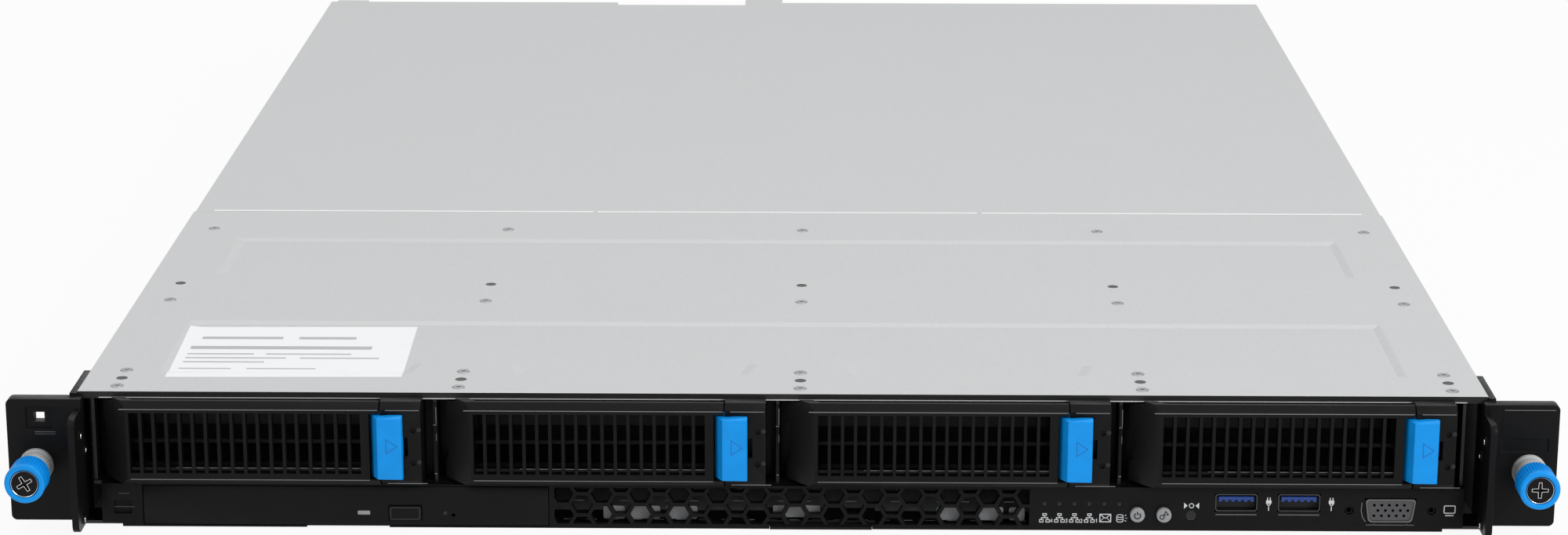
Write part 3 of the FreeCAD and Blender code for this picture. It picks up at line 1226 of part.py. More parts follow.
def power_supply():
    """Hot-swap supply with a loop handle, a mains inlet and a contact edge at its front."""
    supply = Body()
    left, right = "supply_left", "(supply_left + supply_width)"
    supply.pad("XY", ("supply_low", "supply_high"),
               rect(left, right, "supply_front", "supply_rear"))
    bar = f"{left} + handle_from_left"
    supply.pad("YZ", (bar, f"{bar} + handle_width"), [
        ("supply_rear - sheet", "handle_low"), ("supply_rear + handle_reach", "handle_low"),
        ("supply_rear + handle_reach", "handle_high"), ("supply_rear - sheet", "handle_high")])
    supply.pocket("YZ", (f"{bar} - sheet", f"{bar} + handle_width + sheet"),
                  rect("supply_rear", "supply_rear + handle_reach - handle_bar",
                       "handle_low + handle_bar", "handle_high - handle_bar"))
    supply.pocket("XZ", ("supply_rear - inlet_depth", "supply_rear + sheet"),
                  rect(f"{left} + inlet_left", f"{left} + inlet_left + inlet_width",
                       "supply_low + inlet_low", "supply_low + inlet_low + inlet_height"))
    supply.pad("XY", ("edge_z", "edge_z + edge_thick"),
               rect(f"{left} + edge_left", f"{left} + edge_left + edge_width",
                    "supply_front - edge_length", "supply_front + sheet"))
    piece("power_supply", supply.body)

    tail = f"{left} + release_left"
    return piece("supply_release", box(
        (tail, f"{tail} + release_width"),
        ("supply_rear + running_gap", "supply_rear + release_reach"),
        ("release_low", "release_low + release_height")))


def power_board():
    """Upright board with the socket that the supply plugs into."""
    left, right = "supply_left + edge_left", "supply_left + edge_left + edge_width"
    deep = ("power_board_y", "power_board_y + board_thick")
    board = box(("supply_left", f"supply_left + {SUPPLY_PITCH} + supply_width"), deep,
                ("sheet", "power_board_top"))
    socket = box((f"{left} - sheet", f"{right} + sheet"),
                 ("power_board_y + board_thick", "supply_front - edge_gap"),
                 ("edge_z - edge_thick", "edge_z + 2 * edge_thick"))
    slot = box((f"{left} - running_gap", f"{right} + running_gap"),
               ("supply_front - edge_length - running_gap", "supply_front"),
               ("edge_z - running_gap", "edge_z + edge_thick + running_gap"))
    return piece("power_board", cut(fuse(board, socket), slot))


def build():
    """Make every piece of the server."""
    chassis_base()
    rear_wall()
    front_top_cover()
    cover_rivets()
    rear_cover()
    cover_thumbscrew()
    drive_cage()
    rack_ear(-1, "left_rack_ear")
    rack_ear(1, "right_rack_ear")
    screw_collars()
    thumbscrew("-", "left")
    thumbscrew("", "right")
    front_panel()
    front_grille()
    optical_drive()
    disc_tray()
    eject_button()
    front_buttons()
    light_pipes()
    front_io_board()
    usb_ports()
    vga_port()
    information_tag()
    for bay in range(4):
        tray_frame(bay)
        tray_lever(bay)
        tray_latch(bay)
        hard_drive(bay)
    backplane()
    fan_bracket()
    fan_housings()
    fan_rotors()
    motherboard()
    board_sockets()
    memory_modules()
    heatsink()
    air_duct()
    rear_ports()
    rear_blanks()
    power_supply()
    power_board()


def export():
    """Recompute, check every object and write each piece to its own file."""
    doc.recompute()
    failed = [f"{thing.Label} ({thing.Name})" for thing in doc.Objects
              if "Invalid" in thing.State or "Error" in thing.State]
    if failed:
        raise RuntimeError("failed: " + ", ".join(failed))
    os.makedirs("parts", exist_ok=True)
    for thing in pieces:
        shape = thing.Shape
        if shape.isNull() or not shape.isValid() or not shape.Solids:
            raise RuntimeError(f"{thing.Label} has no valid solid")
    for thing in pieces:
        thing.Shape.exportStep(f"parts/{thing.Label}.step")
    print(len(pieces), "pieces written")


build()
export()
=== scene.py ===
"""Looks of the 1u rack server: finishes, rounded edges, markings, camera and light."""
import json
import math

import bmesh
import bpy
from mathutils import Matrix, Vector
from mathutils.bvhtree import BVHTree


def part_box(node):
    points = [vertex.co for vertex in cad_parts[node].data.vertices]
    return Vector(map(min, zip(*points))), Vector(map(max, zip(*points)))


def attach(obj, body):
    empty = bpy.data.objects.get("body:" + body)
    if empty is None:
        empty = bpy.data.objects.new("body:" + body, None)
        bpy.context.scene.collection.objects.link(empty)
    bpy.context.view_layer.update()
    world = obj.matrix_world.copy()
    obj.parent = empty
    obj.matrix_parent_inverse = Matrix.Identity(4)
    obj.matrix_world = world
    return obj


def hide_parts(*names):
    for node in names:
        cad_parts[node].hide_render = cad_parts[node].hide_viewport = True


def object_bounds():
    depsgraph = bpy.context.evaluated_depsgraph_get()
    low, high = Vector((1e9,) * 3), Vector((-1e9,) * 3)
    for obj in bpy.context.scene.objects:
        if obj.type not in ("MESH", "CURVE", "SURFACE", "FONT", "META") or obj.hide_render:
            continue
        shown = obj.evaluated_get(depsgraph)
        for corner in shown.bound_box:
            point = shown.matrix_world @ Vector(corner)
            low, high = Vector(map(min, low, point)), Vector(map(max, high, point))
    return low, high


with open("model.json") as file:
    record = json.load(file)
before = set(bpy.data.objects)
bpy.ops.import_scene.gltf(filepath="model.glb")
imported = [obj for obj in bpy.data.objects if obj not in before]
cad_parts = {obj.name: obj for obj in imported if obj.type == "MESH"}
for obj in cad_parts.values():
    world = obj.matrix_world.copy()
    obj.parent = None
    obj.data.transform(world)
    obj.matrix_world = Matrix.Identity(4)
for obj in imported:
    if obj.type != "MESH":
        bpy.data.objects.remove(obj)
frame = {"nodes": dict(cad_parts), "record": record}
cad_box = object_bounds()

MM = 0.001
WELD = 0.002 * MM
FLAT_ANGLE, SMOOTH_ANGLE = math.radians(0.6), math.radians(38)
EVEN = (1, 1, 1)
NODES = frame["nodes"]


# Shader building

def srgb(*levels):
    """Linear colour of an 8-bit screen colour."""
    def linear(level):
        share = level / 255
        return share / 12.92 if share <= 0.04045 else ((share + 0.055) / 1.055) ** 2.4
    return tuple(linear(level) for level in levels) + (1.0,)


def set_sockets(node, values):
    """Give sockets of a shader node their values."""
    for socket, value in values.items():
        node.inputs[socket].default_value = value


class Finish:
    """A node material on one Principled shader, built up step by step."""

    def __init__(self, name, colour, rough, metal, specular):
        self.material = bpy.data.materials.new(name)
        self.material.use_nodes = True
        self.tree = self.material.node_tree
        self.shader = self.tree.nodes["Principled BSDF"]
        self.colour, self.rough = colour, rough
        set_sockets(self.shader, {"Base Color": colour, "Roughness": rough, "Metallic": metal,
                                  "Specular IOR Level": specular})
        self.place = self.node("ShaderNodeTexCoord").outputs["Object"]

    def node(self, kind, values=None, **settings):
        """Add a shader node with its own settings and values for its sockets."""
        made = self.tree.nodes.new(kind)
        for name, value in settings.items():
            setattr(made, name, value)
        set_sockets(made, values or {})
        return made

    def link(self, start, end):
        self.tree.links.new(start, end)

    def noise(self, scale, detail, stretch):
        """Noise in millimetres: scale is how many features fit in one millimetre."""
        mapping = self.node("ShaderNodeMapping", {"Scale": [share / MM for share in stretch]})
        self.link(self.place, mapping.inputs["Vector"])
        noise = self.node("ShaderNodeTexNoise", {"Scale": scale, "Detail": detail})
        self.link(mapping.outputs["Vector"], noise.inputs["Vector"])
        return noise.outputs["Fac"]

    def spread(self, value, low, high, start=0.3, end=0.7):
        """Map a texture's middle range to a range of values."""
        limits = {"From Min": start, "From Max": end, "To Min": low, "To Max": high}
        remap = self.node("ShaderNodeMapRange", limits)
        self.link(value, remap.inputs["Value"])
        return remap.outputs["Result"]

    def tint(self, scale, detail, amount, stretch=EVEN):
        """Let noise darken and lighten the colour by a share of itself."""
        factor = self.spread(self.noise(scale, detail, stretch), 1 - amount, 1 + amount)
        scaled = self.node("ShaderNodeVectorMath", operation="SCALE")
        socket = self.shader.inputs["Base Color"]
        if socket.is_linked:
            self.link(socket.links[0].from_socket, scaled.inputs[0])
        else:
            scaled.inputs[0].default_value = self.colour[:3]
        self.link(factor, scaled.inputs["Scale"])
        self.link(scaled.outputs[0], socket)
        return self

    def uneven(self, scale, detail, amount):
        """Let noise vary the roughness."""
        value = self.noise(scale, detail, EVEN)
        level = self.spread(value, self.rough - amount, self.rough + amount)
        self.link(level, self.shader.inputs["Roughness"])
        return self

    def shade_front(self, front_shade, reach):
        """Darken the part from its front up to a depth behind the ears with painted shade, in
        millimetres.
        """
        parts = self.node("ShaderNodeSeparateXYZ")
        self.link(self.place, parts.inputs[0])
        level = self.spread(parts.outputs["Y"], 0.0, 1.0, reach * MM, (reach + 0.5) * MM)
        mix = self.node("ShaderNodeMix", {"A": front_shade, "B": self.colour}, data_type="RGBA")
        self.link(level, mix.inputs["Factor"])
        self.link(mix.outputs["Result"], self.shader.inputs["Base Color"])
        return self

    def grain(self, scale, detail, depth, stretch=EVEN):
        """Let noise raise the surface, by a depth in millimetres."""
        bump = self.node("ShaderNodeBump", {"Strength": 1.0, "Distance": depth * MM})
        self.link(self.noise(scale, detail, stretch), bump.inputs["Height"])
        socket = self.shader.inputs["Normal"]
        if socket.is_linked:
            self.link(socket.links[0].from_socket, bump.inputs["Normal"])
        self.link(bump.outputs["Normal"], socket)
        return self


def make_finishes():
    """Every material of the server, by name; colours are 8-bit screen levels."""
    made = {}

    def add(name, levels, rough, metal=0.0, specular=0.5):
        finish = Finish(name, srgb(*levels), rough, metal, specular)
        made[name] = finish.material
        return finish

    def zinc(name, levels, rough, metal):
        plate = add(name, levels, rough, metal, specular=0.3)
        plate.tint(0.035, 4, 0.008).tint(0.9, 2, 0.014, (1, 0.25, 1))
        plate.uneven(0.035, 4, 0.02).grain(1.6, 3, 0.012, (1, 0.18, 1))

    def black(name, levels, rough, grain_scale, depth):
        skin = add(name, levels, rough, specular=0.12)
        skin.tint(0.12, 3, 0.10).uneven(0.35, 4, 0.05).grain(grain_scale, 2, depth)

    def metal(name, levels, rough):
        add(name, levels, rough, 1.0).uneven(0.9, 3, 0.04).grain(2.5, 2, 0.005)

    def plain(name, levels, rough, metal_share=0.0):
        add(name, levels, rough, metal_share).tint(1.4, 3, 0.07).grain(4.0, 2, 0.008)

    # A finish with painted shade on its front part, up to a depth in millimetres.
    def shaded_at_front(name, levels, rough, front_shade, reach):
        add(name, levels, rough).shade_front(srgb(*front_shade), reach).grain(1.6, 3, 0.012)

    zinc("cover_zinc", (204, 205, 206), 0.52, 0.12)
    zinc("bare_zinc", (178, 180, 182), 0.50, 0.35)
    # Painted shade at the front: on the cage walls in the gaps between the trays, and on the drive
    # cases behind the tray slots.
    shaded_at_front("cage_paint_and_front_shade", (190, 192, 194), 0.45, (12, 12, 13), 12.0)
    shaded_at_front("drive_case", (150, 152, 155), 0.42, (18, 18, 19), 23.5)

    black("black_paint", (14, 14, 15), 0.40, 2.2, 0.022)
    black("panel_paint", (14, 14, 15), 0.46, 2.6, 0.020)
    black("black_plastic", (15, 15, 16), 0.42, 3.0, 0.018)
    black("dark_plastic", (9, 9, 10), 0.52, 3.0, 0.015)
    # Black plastic painted lighter: painted light on the trays' slanted sides and the walls behind
    # their slots.
    black("plastic_with_painted_light", (31, 31, 32), 0.44, 3.0, 0.018)
    black("band_paint", (46, 46, 47), 0.40, 2.2, 0.018)

    metal("rim_steel", (104, 105, 107), 0.28)
    metal("screw_dark", (34, 33, 33), 0.20)
    metal("socket_rim", (72, 73, 75), 0.30)
    metal("gold_contact", (214, 174, 96), 0.28)
    add("bright_metal", (214, 214, 212), 0.20, 1.0).uneven(0.8, 3, 0.05).grain(2.5, 2, 0.006)
    add("cast_aluminium", (150, 152, 154), 0.42, 0.85).tint(0.4, 4, 0.06).grain(1.8, 4, 0.03)

    plain("socket_blue", (22, 66, 146), 0.42)
    plain("insert_grey", (74, 74, 76), 0.45)
    plain("dark_ink", (30, 31, 33), 0.5)
    plain("blue_mark", (10, 96, 176), 0.42)
    # Painted highlight: light grey lines along edges that catch the light.
    plain("worn_edge", (122, 122, 123), 0.38)
    plain("faint_edge", (74, 74, 75), 0.4)
    # Near-white and hardly metallic: the polished collars' bright reflection is painted in.
    plain("turned_steel", (226, 227, 228), 0.30, 0.12)
    plain("edge_light", (205, 206, 206), 0.4)
    plain("seam_light", (246, 247, 248), 0.4)
    plain("pale_part", (150, 151, 153), 0.5)
    plain("hole_shade", (62, 63, 64), 0.6)
    plain("rivet_metal", (146, 147, 149), 0.28, 0.5)

    blue = add("blue_plastic", (6, 152, 240), 0.42, specular=0.25)
    blue.tint(0.2, 3, 0.05).grain(3.0, 2, 0.010)
    add("grey_plastic", (156, 157, 159), 0.40).tint(0.6, 3, 0.05).grain(4.0, 2, 0.010)
    add("ink", (224, 226, 228), 0.55).tint(3.0, 3, 0.08)
    add("lens", (16, 16, 17), 0.34, specular=0.4).tint(1.5, 2, 0.08)
    add("label_paper", (252, 253, 254), 0.58).tint(0.15, 3, 0.008).grain(2.0, 3, 0.008)
    add("label_grey", (186, 188, 192), 0.6).tint(1.2, 2, 0.05)
    add("board_green", (22, 74, 46), 0.38).tint(0.5, 4, 0.18).grain(1.0, 4, 0.03)
    # Dark socket plastic, which is also used as painted shade in holes, slots, openings and socket
    # rooms.
    add("socket_dark", (12, 12, 13), 0.6).tint(1.0, 2, 0.15)
    return made


FINISH = make_finishes()


# Mesh building

def publish(name, mesh, finish, body):
    """Turn a mesh into a piece that rides on a body."""
    piece = bpy.data.objects.new(name, mesh)
    bpy.context.collection.objects.link(piece)
    for surface in finish if isinstance(finish, (list, tuple)) else [finish]:
        mesh.materials.append(FINISH[surface])
    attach(piece, body)
    return piece


def body_of(node):
    """The body that a CAD node rides on."""
    return next(name for name, members in frame["record"]["behaviour"]["bodies"].items()
                if node in members)


def round_edges(piece, width, segments=2, angle=30):
    """Round the sharp edges of a piece by a width in millimetres."""
    for face in piece.data.polygons:
        face.use_smooth = True
    bevel = piece.modifiers.new("round", "BEVEL")
    bevel.width = width * MM
    bevel.segments = segments
    bevel.limit_method = "ANGLE"
    bevel.angle_limit = math.radians(angle)
    bevel.use_clamp_overlap = True
    bevel.harden_normals = True
    return piece


def dress(node, finish, width=0.2, segments=2, angle=30, sort=None):
    """Replace a node by a copy of its shape with rounded edges and a finish.

    sort gives the number of the finish for the middle of a face, where there are several.
    """
    mesh = NODES[node].data.copy()
    mesh.materials.clear()
    form = bmesh.new()
    form.from_mesh(mesh)
    bmesh.ops.remove_doubles(form, verts=form.verts, dist=WELD)
    bmesh.ops.dissolve_limit(form, angle_limit=FLAT_ANGLE, verts=form.verts, edges=form.edges)
    for face in form.faces:
        face.material_index = sort(face.calc_center_median(), face.normal) if sort else 0
    form.to_mesh(mesh)
    form.free()
    piece = publish(f"{node}_shown", mesh, finish, body_of(node))
    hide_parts(node)
    return round_edges(piece, width, segments, angle)


def repaint(node, finish):
    """Give a CAD node that stays shown a better material."""
    NODES[node].data.materials.clear()
    NODES[node].data.materials.append(FINISH[finish])


def islands(node):
    """Lowest and highest corners of each separate solid of a node."""
    form = bmesh.new()
    form.from_mesh(NODES[node].data)
    bmesh.ops.remove_doubles(form, verts=form.verts, dist=WELD)
    seen, boxes = set(), []
    for start in form.verts:
        if start.index in seen:
            continue
        stack, members = [start], []
        seen.add(start.index)
        while stack:
            vertex = stack.pop()
            members.append(vertex.co.copy())
            for edge in vertex.link_edges:
                other = edge.other_vert(vertex)
                if other.index not in seen:
                    seen.add(other.index)
                    stack.append(other)
        boxes.append((Vector(map(min, zip(*members))), Vector(map(max, zip(*members)))))
    form.free()
    return boxes


def wall(form, one, two):
    """Join two rings of as many vertices with faces."""
    for i in range(len(one)):
        j = (i + 1) % len(one)
        form.faces.new((one[i], one[j], two[j], two[i]))


def turned(form, profile, place, axis, steps):
    """Add the rings of a turned shape and the walls between them, open at both ends.

    profile holds a radius and a level along the axis, in millimetres, and a third number
    where every third point of the ring lies deeper by that much, as in ribs.
    """
    turn = Vector((0, 0, 1)).rotation_difference(Vector(axis))
    rings = []
    for radius, level, *rib in profile:
        ring = []
        for i in range(steps):
            angle = 2 * math.pi * i / steps
            reach = radius - (rib[0] if rib and i % 3 == 0 else 0)
            spot = Vector((reach * math.cos(angle), reach * math.sin(angle), level))
            ring.append(form.verts.new((turn @ spot + Vector(place)) * MM))
        rings.append(ring)
    for low, high in zip(rings, rings[1:]):
        wall(form, low, high)
    return rings


def lathe(form, profile, place, axis=(0, 0, 1), steps=32):
    """Add a closed turned shape with its middle at a place, in millimetres."""
    rings = turned(form, profile, place, axis, steps)
    form.faces.new(rings[0])
    form.faces.new(rings[-1])


def finish_mesh(name, form):
    """Close a form into a mesh, smooth but for its sharp edges."""
    bmesh.ops.remove_doubles(form, verts=form.verts, dist=WELD / 2)
    bmesh.ops.recalc_face_normals(form, faces=form.faces)
    mesh = bpy.data.meshes.new(name)
    form.to_mesh(mesh)
    form.free()
    mesh.shade_smooth()
    mesh.set_sharp_from_angle(angle=SMOOTH_ANGLE)
    return mesh


def put(name, form, finish, body="chassis"):
    """Turn a form into a piece that rides on a body."""
    return publish(name, finish_mesh(name, form), finish, body)


def spot_on(plane, u, v, level):
    """A place on a plane, in millimetres; XZ planes are numbered towards the front."""
    return Vector((u, -level, v) if plane == "XZ" else (u, v, level)) * MM


def slab(form, outline, base, lift, plane="XZ"):
    """Add a flat shape of a thickness: outline in millimetres, base and lift along its normal."""
    low, high = [[form.verts.new(spot_on(plane, u, v, level)) for u, v in outline]
                 for level in (base, base + lift)]
    form.faces.new(low)
    form.faces.new(high)
    wall(form, low, high)


def rectangle(x0, x1, y0, y1, corner=0.0):
    """Outline of a rectangle, with rounded corners where a radius is given."""
    if corner <= 0:
        return [(x0, y0), (x1, y0), (x1, y1), (x0, y1)]
    points = []
    corners = [(x1 - corner, y1 - corner, 0), (x0 + corner, y1 - corner, 90),
               (x0 + corner, y0 + corner, 180), (x1 - corner, y0 + corner, 270)]
    for x, y, start in corners:
        points += arc(x, y, corner, start, start + 90, 4)
    return points


def ellipse(x, y, across, up, steps=20):
    """Outline of an ellipse with two half-widths."""
    return [(x + across * math.cos(2 * math.pi * i / steps),
             y + up * math.sin(2 * math.pi * i / steps)) for i in range(steps)]


def arc(x, y, radius, start, end, steps=12):
    """Points along an arc, between two angles in degrees."""
    angles = [math.radians(start + (end - start) * i / steps) for i in range(steps + 1)]
    return [(x + radius * math.cos(angle), y + radius * math.sin(angle)) for angle in angles]


def band(form, points, width, base, lift=0.05, closed=False, plane="XZ"):
    """Add a raised stroke of even width along a line of points, in millimetres."""
    spots = [Vector(point) for point in points]
    count = len(spots)
    rings = []
    for i, here in enumerate(spots):
        ways = []
        if closed or i > 0:
            ways.append((here - spots[i - 1]).normalized())
        if closed or i < count - 1:
            ways.append((spots[(i + 1) % count] - here).normalized())
        across = Vector((-sum(way.y for way in ways), sum(way.x for way in ways))).normalized()
        flat = Vector((-ways[0].y, ways[0].x))
        across *= width / 2 / max(across.dot(flat), 0.35)
        low, high = here - across, here + across
        rings.append([form.verts.new(spot_on(plane, *side, level)) for side, level in
                      ((low, base), (high, base), (high, base + lift), (low, base + lift))])
    for i in range(count if closed else count - 1):
        wall(form, rings[i], rings[(i + 1) % count])
    if not closed:
        form.faces.new(rings[0])
        form.faces.new(list(reversed(rings[-1])))


def pierced(form, outline, holes, level, depth, sides=True):
    """Add a face in an XZ plane with blind holes; with sides, its outline goes down too."""
    def loop(points, height):
        return [form.verts.new(spot_on("XZ", u, v, height)) for u, v in points]

    edges = []
    for number, points in enumerate([outline] + list(holes)):
        top = loop(points, level)
        edges += [form.edges.new((top[i], top[(i + 1) % len(top)])) for i in range(len(top))]
        if number or sides:
            bottom = loop(points, level - depth)
            wall(form, top, bottom)
            form.faces.new(bottom)
    bmesh.ops.triangle_fill(form, use_beauty=True, use_dissolve=False, edges=edges)


def box_mm(node):
    """A node's lowest and highest corners in millimetres."""
    low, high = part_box(node)
    return Vector(low) / MM, Vector(high) / MM


def middle_of(node):
    """The middle of a node as seen from the front, in millimetres: X and Z."""
    low, high = box_mm(node)
    return (low.x + high.x) / 2, (low.z + high.z) / 2


class Marks:
    """Print or engraving on one body: thin strokes and fills gathered in one piece."""

    def __init__(self, name, finish, level, width=0.28, slot="black_paint", body="chassis",
                 plane="XZ", lift=0.1):
        self.name, self.finish, self.body, self.slot = name, finish, body, slot
        self.level, self.width, self.plane, self.lift = level, width, plane, lift
        self.form = bmesh.new()

    def stroke(self, *points, width=None, closed=False):
        """Add a line through points."""
        width = width or self.width
        band(self.form, points, width, self.level, self.lift, closed, self.plane)

    def loop(self, outline, width=None):
        """Add a line that closes."""
        self.stroke(*outline, width=width, closed=True)

    def across(self, x0, x1, height, width=None):
        """Add a level line."""
        self.stroke((x0, height), (x1, height), width=width)

    def fill(self, outline):
        """Add a filled shape."""
        slab(self.form, outline, self.level, self.lift, self.plane)

    def done(self):
        """Publish all of it as one piece."""
        return put(self.name, self.form, self.finish, self.body)


# Finishes of the pieces that keep their CAD shape

CARRIED = {
    "chassis_base": "cage_paint_and_front_shade", "drive_cage": "cage_paint_and_front_shade", "rear_wall": "bare_zinc",
    "fan_bracket": "bare_zinc", "rear_blanks": "bare_zinc", "power_supply": "bare_zinc",
    "optical_drive": "dark_plastic", "light_pipes": "lens",
    "front_io_board": "board_green", "power_board": "board_green",
    "motherboard": "board_green", "backplane": "board_green", "memory_modules": "board_green",
    "board_sockets": "socket_dark", "fan_housings": "dark_plastic",
    "heatsink": "cast_aluminium", "air_duct": "dark_plastic", "rear_ports": "bright_metal",
    "supply_release": "blue_plastic", "information_tag": "black_plastic",
}
CARRIED.update({f"fan_rotor_{number}": "dark_plastic" for number in range(1, 6)})
CARRIED.update({f"hard_drive_{number}": "drive_case" for number in range(1, 5)})
for node, finish in CARRIED.items():
    repaint(node, finish)


# Covers

COVER_TOP = 43.6
PIN_HOLE_ROWS = (14.0, 124.2)
LABEL_CORNERS = ((-196.5, 73.5), (-121.3, 74.5), (-120.3, 15.8), (-195.0, 14.8))
LABEL_BARS = (
    (61.0, 2.6, ((-190.5, -164.0), (-158.7, -140.0))),
    (50.0, 3.4, ((-193.9, -133.6),)),
    (43.0, 1.2, ((-193.6, -171.0), (-167.0, -139.5))),
    (38.6, 1.2, ((-193.4, -160.0), (-155.5, -130.0))),
    (34.2, 1.2, ((-193.2, -166.5),)),
    (27.0, 1.0, ((-192.9, -176.0), (-171.0, -149.0))),
)


def lip_or_cover(middle, normal):
    """The turned-down front lip is painted, the rest is bare steel."""
    return 1 if normal.y < -0.5 and middle.y < 0.001 else 0


for piece in (dress("front_top_cover", ["cover_zinc", "band_paint"], 0.25, 2, 8, lip_or_cover),
              dress("rear_cover", "cover_zinc", 0.25, 2, 8)):
    for face in piece.data.polygons:
        face.use_smooth = False


def make_lip_line():
    """A painted highlight along the lower edge of the cover's lip, above the trays."""
    low, high = box_mm("front_top_cover")
    edge = Marks("lip_edge", "edge_light", 0.02, 0.3, "cover_steel")
    edge.across(low.x + 6.6, high.x - 6.6, low.z + 0.35)
    edge.done()


def make_rivets():
    """Pressed rivets with a small hollow in the middle of each head."""
    form, hollows = bmesh.new(), bmesh.new()
    dome = [(2.1, 0.0), (2.06, 0.14), (1.85, 0.27), (1.5, 0.34), (1.1, 0.33), (0.85, 0.26),
            (0.7, 0.1), (0.35, 0.03)]
    for low, high in islands("cover_rivets"):
        middle = (low + high) / 2 / MM
        lathe(form, dome, (middle.x, middle.y, COVER_TOP), steps=20)
        lathe(hollows, [(0.62, 0.05), (0.6, 0.2), (0.5, 0.22)],
              (middle.x, middle.y, COVER_TOP), steps=16)
    piece = put("rivet_domes", form, "rivet_metal")
    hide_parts("cover_rivets")
    put("rivet_hollows", hollows, "hole_shade")


def make_pin_holes():
    """Blind round holes of the cover, between the rivets of each column."""
    form = bmesh.new()
    columns = sorted({round(((low + high) / 2).x / MM, 1) for low, high in islands("cover_rivets")})
    cup = [(1.85, 0.0), (1.8, 0.05), (1.6, 0.06), (1.5, 0.02)]
    for x in columns:
        for y in PIN_HOLE_ROWS:
            lathe(form, cup, (x, y, COVER_TOP - 0.01), steps=20)
    put("pin_holes", form, "hole_shade")


def cover_height():
    """A function that gives the height of the front cover's top under a point."""
    mesh = NODES["front_top_cover"].data
    form = bmesh.new()
    form.from_mesh(mesh)
    tree = BVHTree.FromBMesh(form)
    form.free()

    def height(x, y):
        hit = tree.ray_cast(Vector((x * MM, y * MM, 0.06)), Vector((0, 0, -1)))[0]
        return hit.z / MM
    return height


def drape(form, corners, lift, across, along):
    """Lay a thin sheet on the front cover between four corners, in millimetres."""
    height = cover_height()
    rear_left, rear_right, front_right, front_left = [Vector(corner) for corner in corners]
    rows = []
    for j in range(along + 1):
        left = front_left.lerp(rear_left, j / along)
        right = front_right.lerp(rear_right, j / along)
        row = []
        for i in range(across + 1):
            x, y = left.lerp(right, i / across)
            row.append(form.verts.new(Vector((x, y, height(x, y) + lift)) * MM))
        rows.append(row)
    for low, high in zip(rows, rows[1:]):
        for i in range(across):
            form.faces.new((low[i], low[i + 1], high[i + 1], high[i]))


def make_label():
    """A bare paper label with plain grey bars, which follows the pressed form of the cover."""
    paper = bmesh.new()
    drape(paper, LABEL_CORNERS, 0.06, 20, 60)
    put("cover_label", paper, "label_paper")
    bars = bmesh.new()
    for y, tall, spans in LABEL_BARS:
        for x0, x1 in spans:
            half = tall / 2
            corners = ((x0, y + half), (x1, y + half), (x1, y - half), (x0, y - half))
            drape(bars, corners, 0.09, 4, 2)
    put("label_bars", bars, "label_grey")


def make_seam():
    """A painted highlight on the rolled edge of the rear cover, where it meets the front one."""
    low, high = box_mm("rear_cover")
    seam = Marks("seam_edge", "seam_light", COVER_TOP - 0.05, 1.7, "cover_steel", "rear_cover",
                 "XY", 0.08)
    start, end = low.x + 6.0, high.x - 6.0
    third = (end - start) / 3
    for number in range(3):
        left = start + number * third
        seam.across(left + 0.8, left + third - 0.8, low.y + 0.95)
    seam.done()


make_lip_line()
make_rivets()
make_pin_holes()
make_label()
make_seam()


# Ears, collars and captive screws

for side in ("left", "right"):
    dress(f"{side}_rack_ear", "black_paint", 0.35, 3)


def knob_place(side):
    """The middle of a captive screw, at the plane of the ears."""
    x, z = middle_of(f"{side}_knob")
    return Vector((x, 0, z))


def make_knob(side):
    """A blue knob: a ribbed barrel and a smooth rounded front ring."""
    form = bmesh.new()
    profile = [(4.6, 13.8), (5.8, 13.85), (6.15, 14.2, 0.42), (6.15, 20.9, 0.42), (5.9, 21.1),
               (5.9, 21.4), (6.2, 21.7), (6.25, 22.2), (6.25, 23.2), (6.12, 23.7), (5.8, 23.97),
               (5.4, 24.0), (4.8, 24.0), (4.55, 23.85), (4.45, 23.5), (4.4, 22.4)]
    lathe(form, profile, knob_place(side), (0, -1, 0), 120)
    piece = put(f"{side}_knob_turned", form, "blue_plastic", f"{side}_thumbscrew")
    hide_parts(f"{side}_knob")


def cross(place, turn, arm=2.5, half=0.55):
    """Outline of a cross recess, turned by degrees."""
    points = []
    for quarter in range(4):
        for u, v in ((half, -half), (arm, -half * 0.8), (arm, half * 0.8)):
            angle = math.radians(turn + 90 * quarter)
            points.append((place.x + u * math.cos(angle) - v * math.sin(angle),
                           place.z + u * math.sin(angle) + v * math.cos(angle)))
    return points


def make_screw(side, turn):
    """The screw in a knob: a domed dark disc with a cross recess, on a shank."""
    form = bmesh.new()
    place = knob_place(side)
    face = 23.45
    profile = [(2.0, -8.0), (2.0, 22.45), (4.2, 22.5), (4.27, 22.7), (4.27, 23.2), (4.1, face),
               (3.7, face)]
    rings = turned(form, profile, place, (0, -1, 0), 40)
    form.faces.new(rings[0])
    outline = ellipse(place.x, place.z, 3.7, 3.7, 40)
    pierced(form, outline, [cross(place, turn)], face, 0.9, sides=False)
    piece = put(f"{side}_screw_turned", form, "screw_dark", f"{side}_thumbscrew")
    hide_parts(f"{side}_screw")
    rim = bmesh.new()
    hoop = [(4.27, 23.2), (4.27, 23.6), (4.18, 23.7), (4.08, 23.62), (4.04, 23.3)]
    turned(rim, hoop, place, (0, -1, 0), 40)
    band(rim, cross(place, turn), 0.16, face - 0.03, 0.07, True)
    put(f"{side}_screw_rim", rim, "bright_metal", f"{side}_thumbscrew")


def make_collars():
    """Polished guides of the captive screws, with a foot ring; their near-white colour is a painted
    reflection.
    """
    form = bmesh.new()
    profile = [(2.5, 4.8), (5.4, 4.8), (5.4, 5.9), (5.25, 6.3), (5.05, 6.6), (4.95, 7.4),
               (4.95, 12.2), (4.9, 12.9), (4.7, 13.5), (4.3, 13.7), (2.5, 13.7), (2.5, 4.8)]
    for side in ("left", "right"):
        turned(form, profile, knob_place(side), (0, -1, 0), 40)
    piece = put("collars_turned", form, "turned_steel")
    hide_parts("screw_collars")


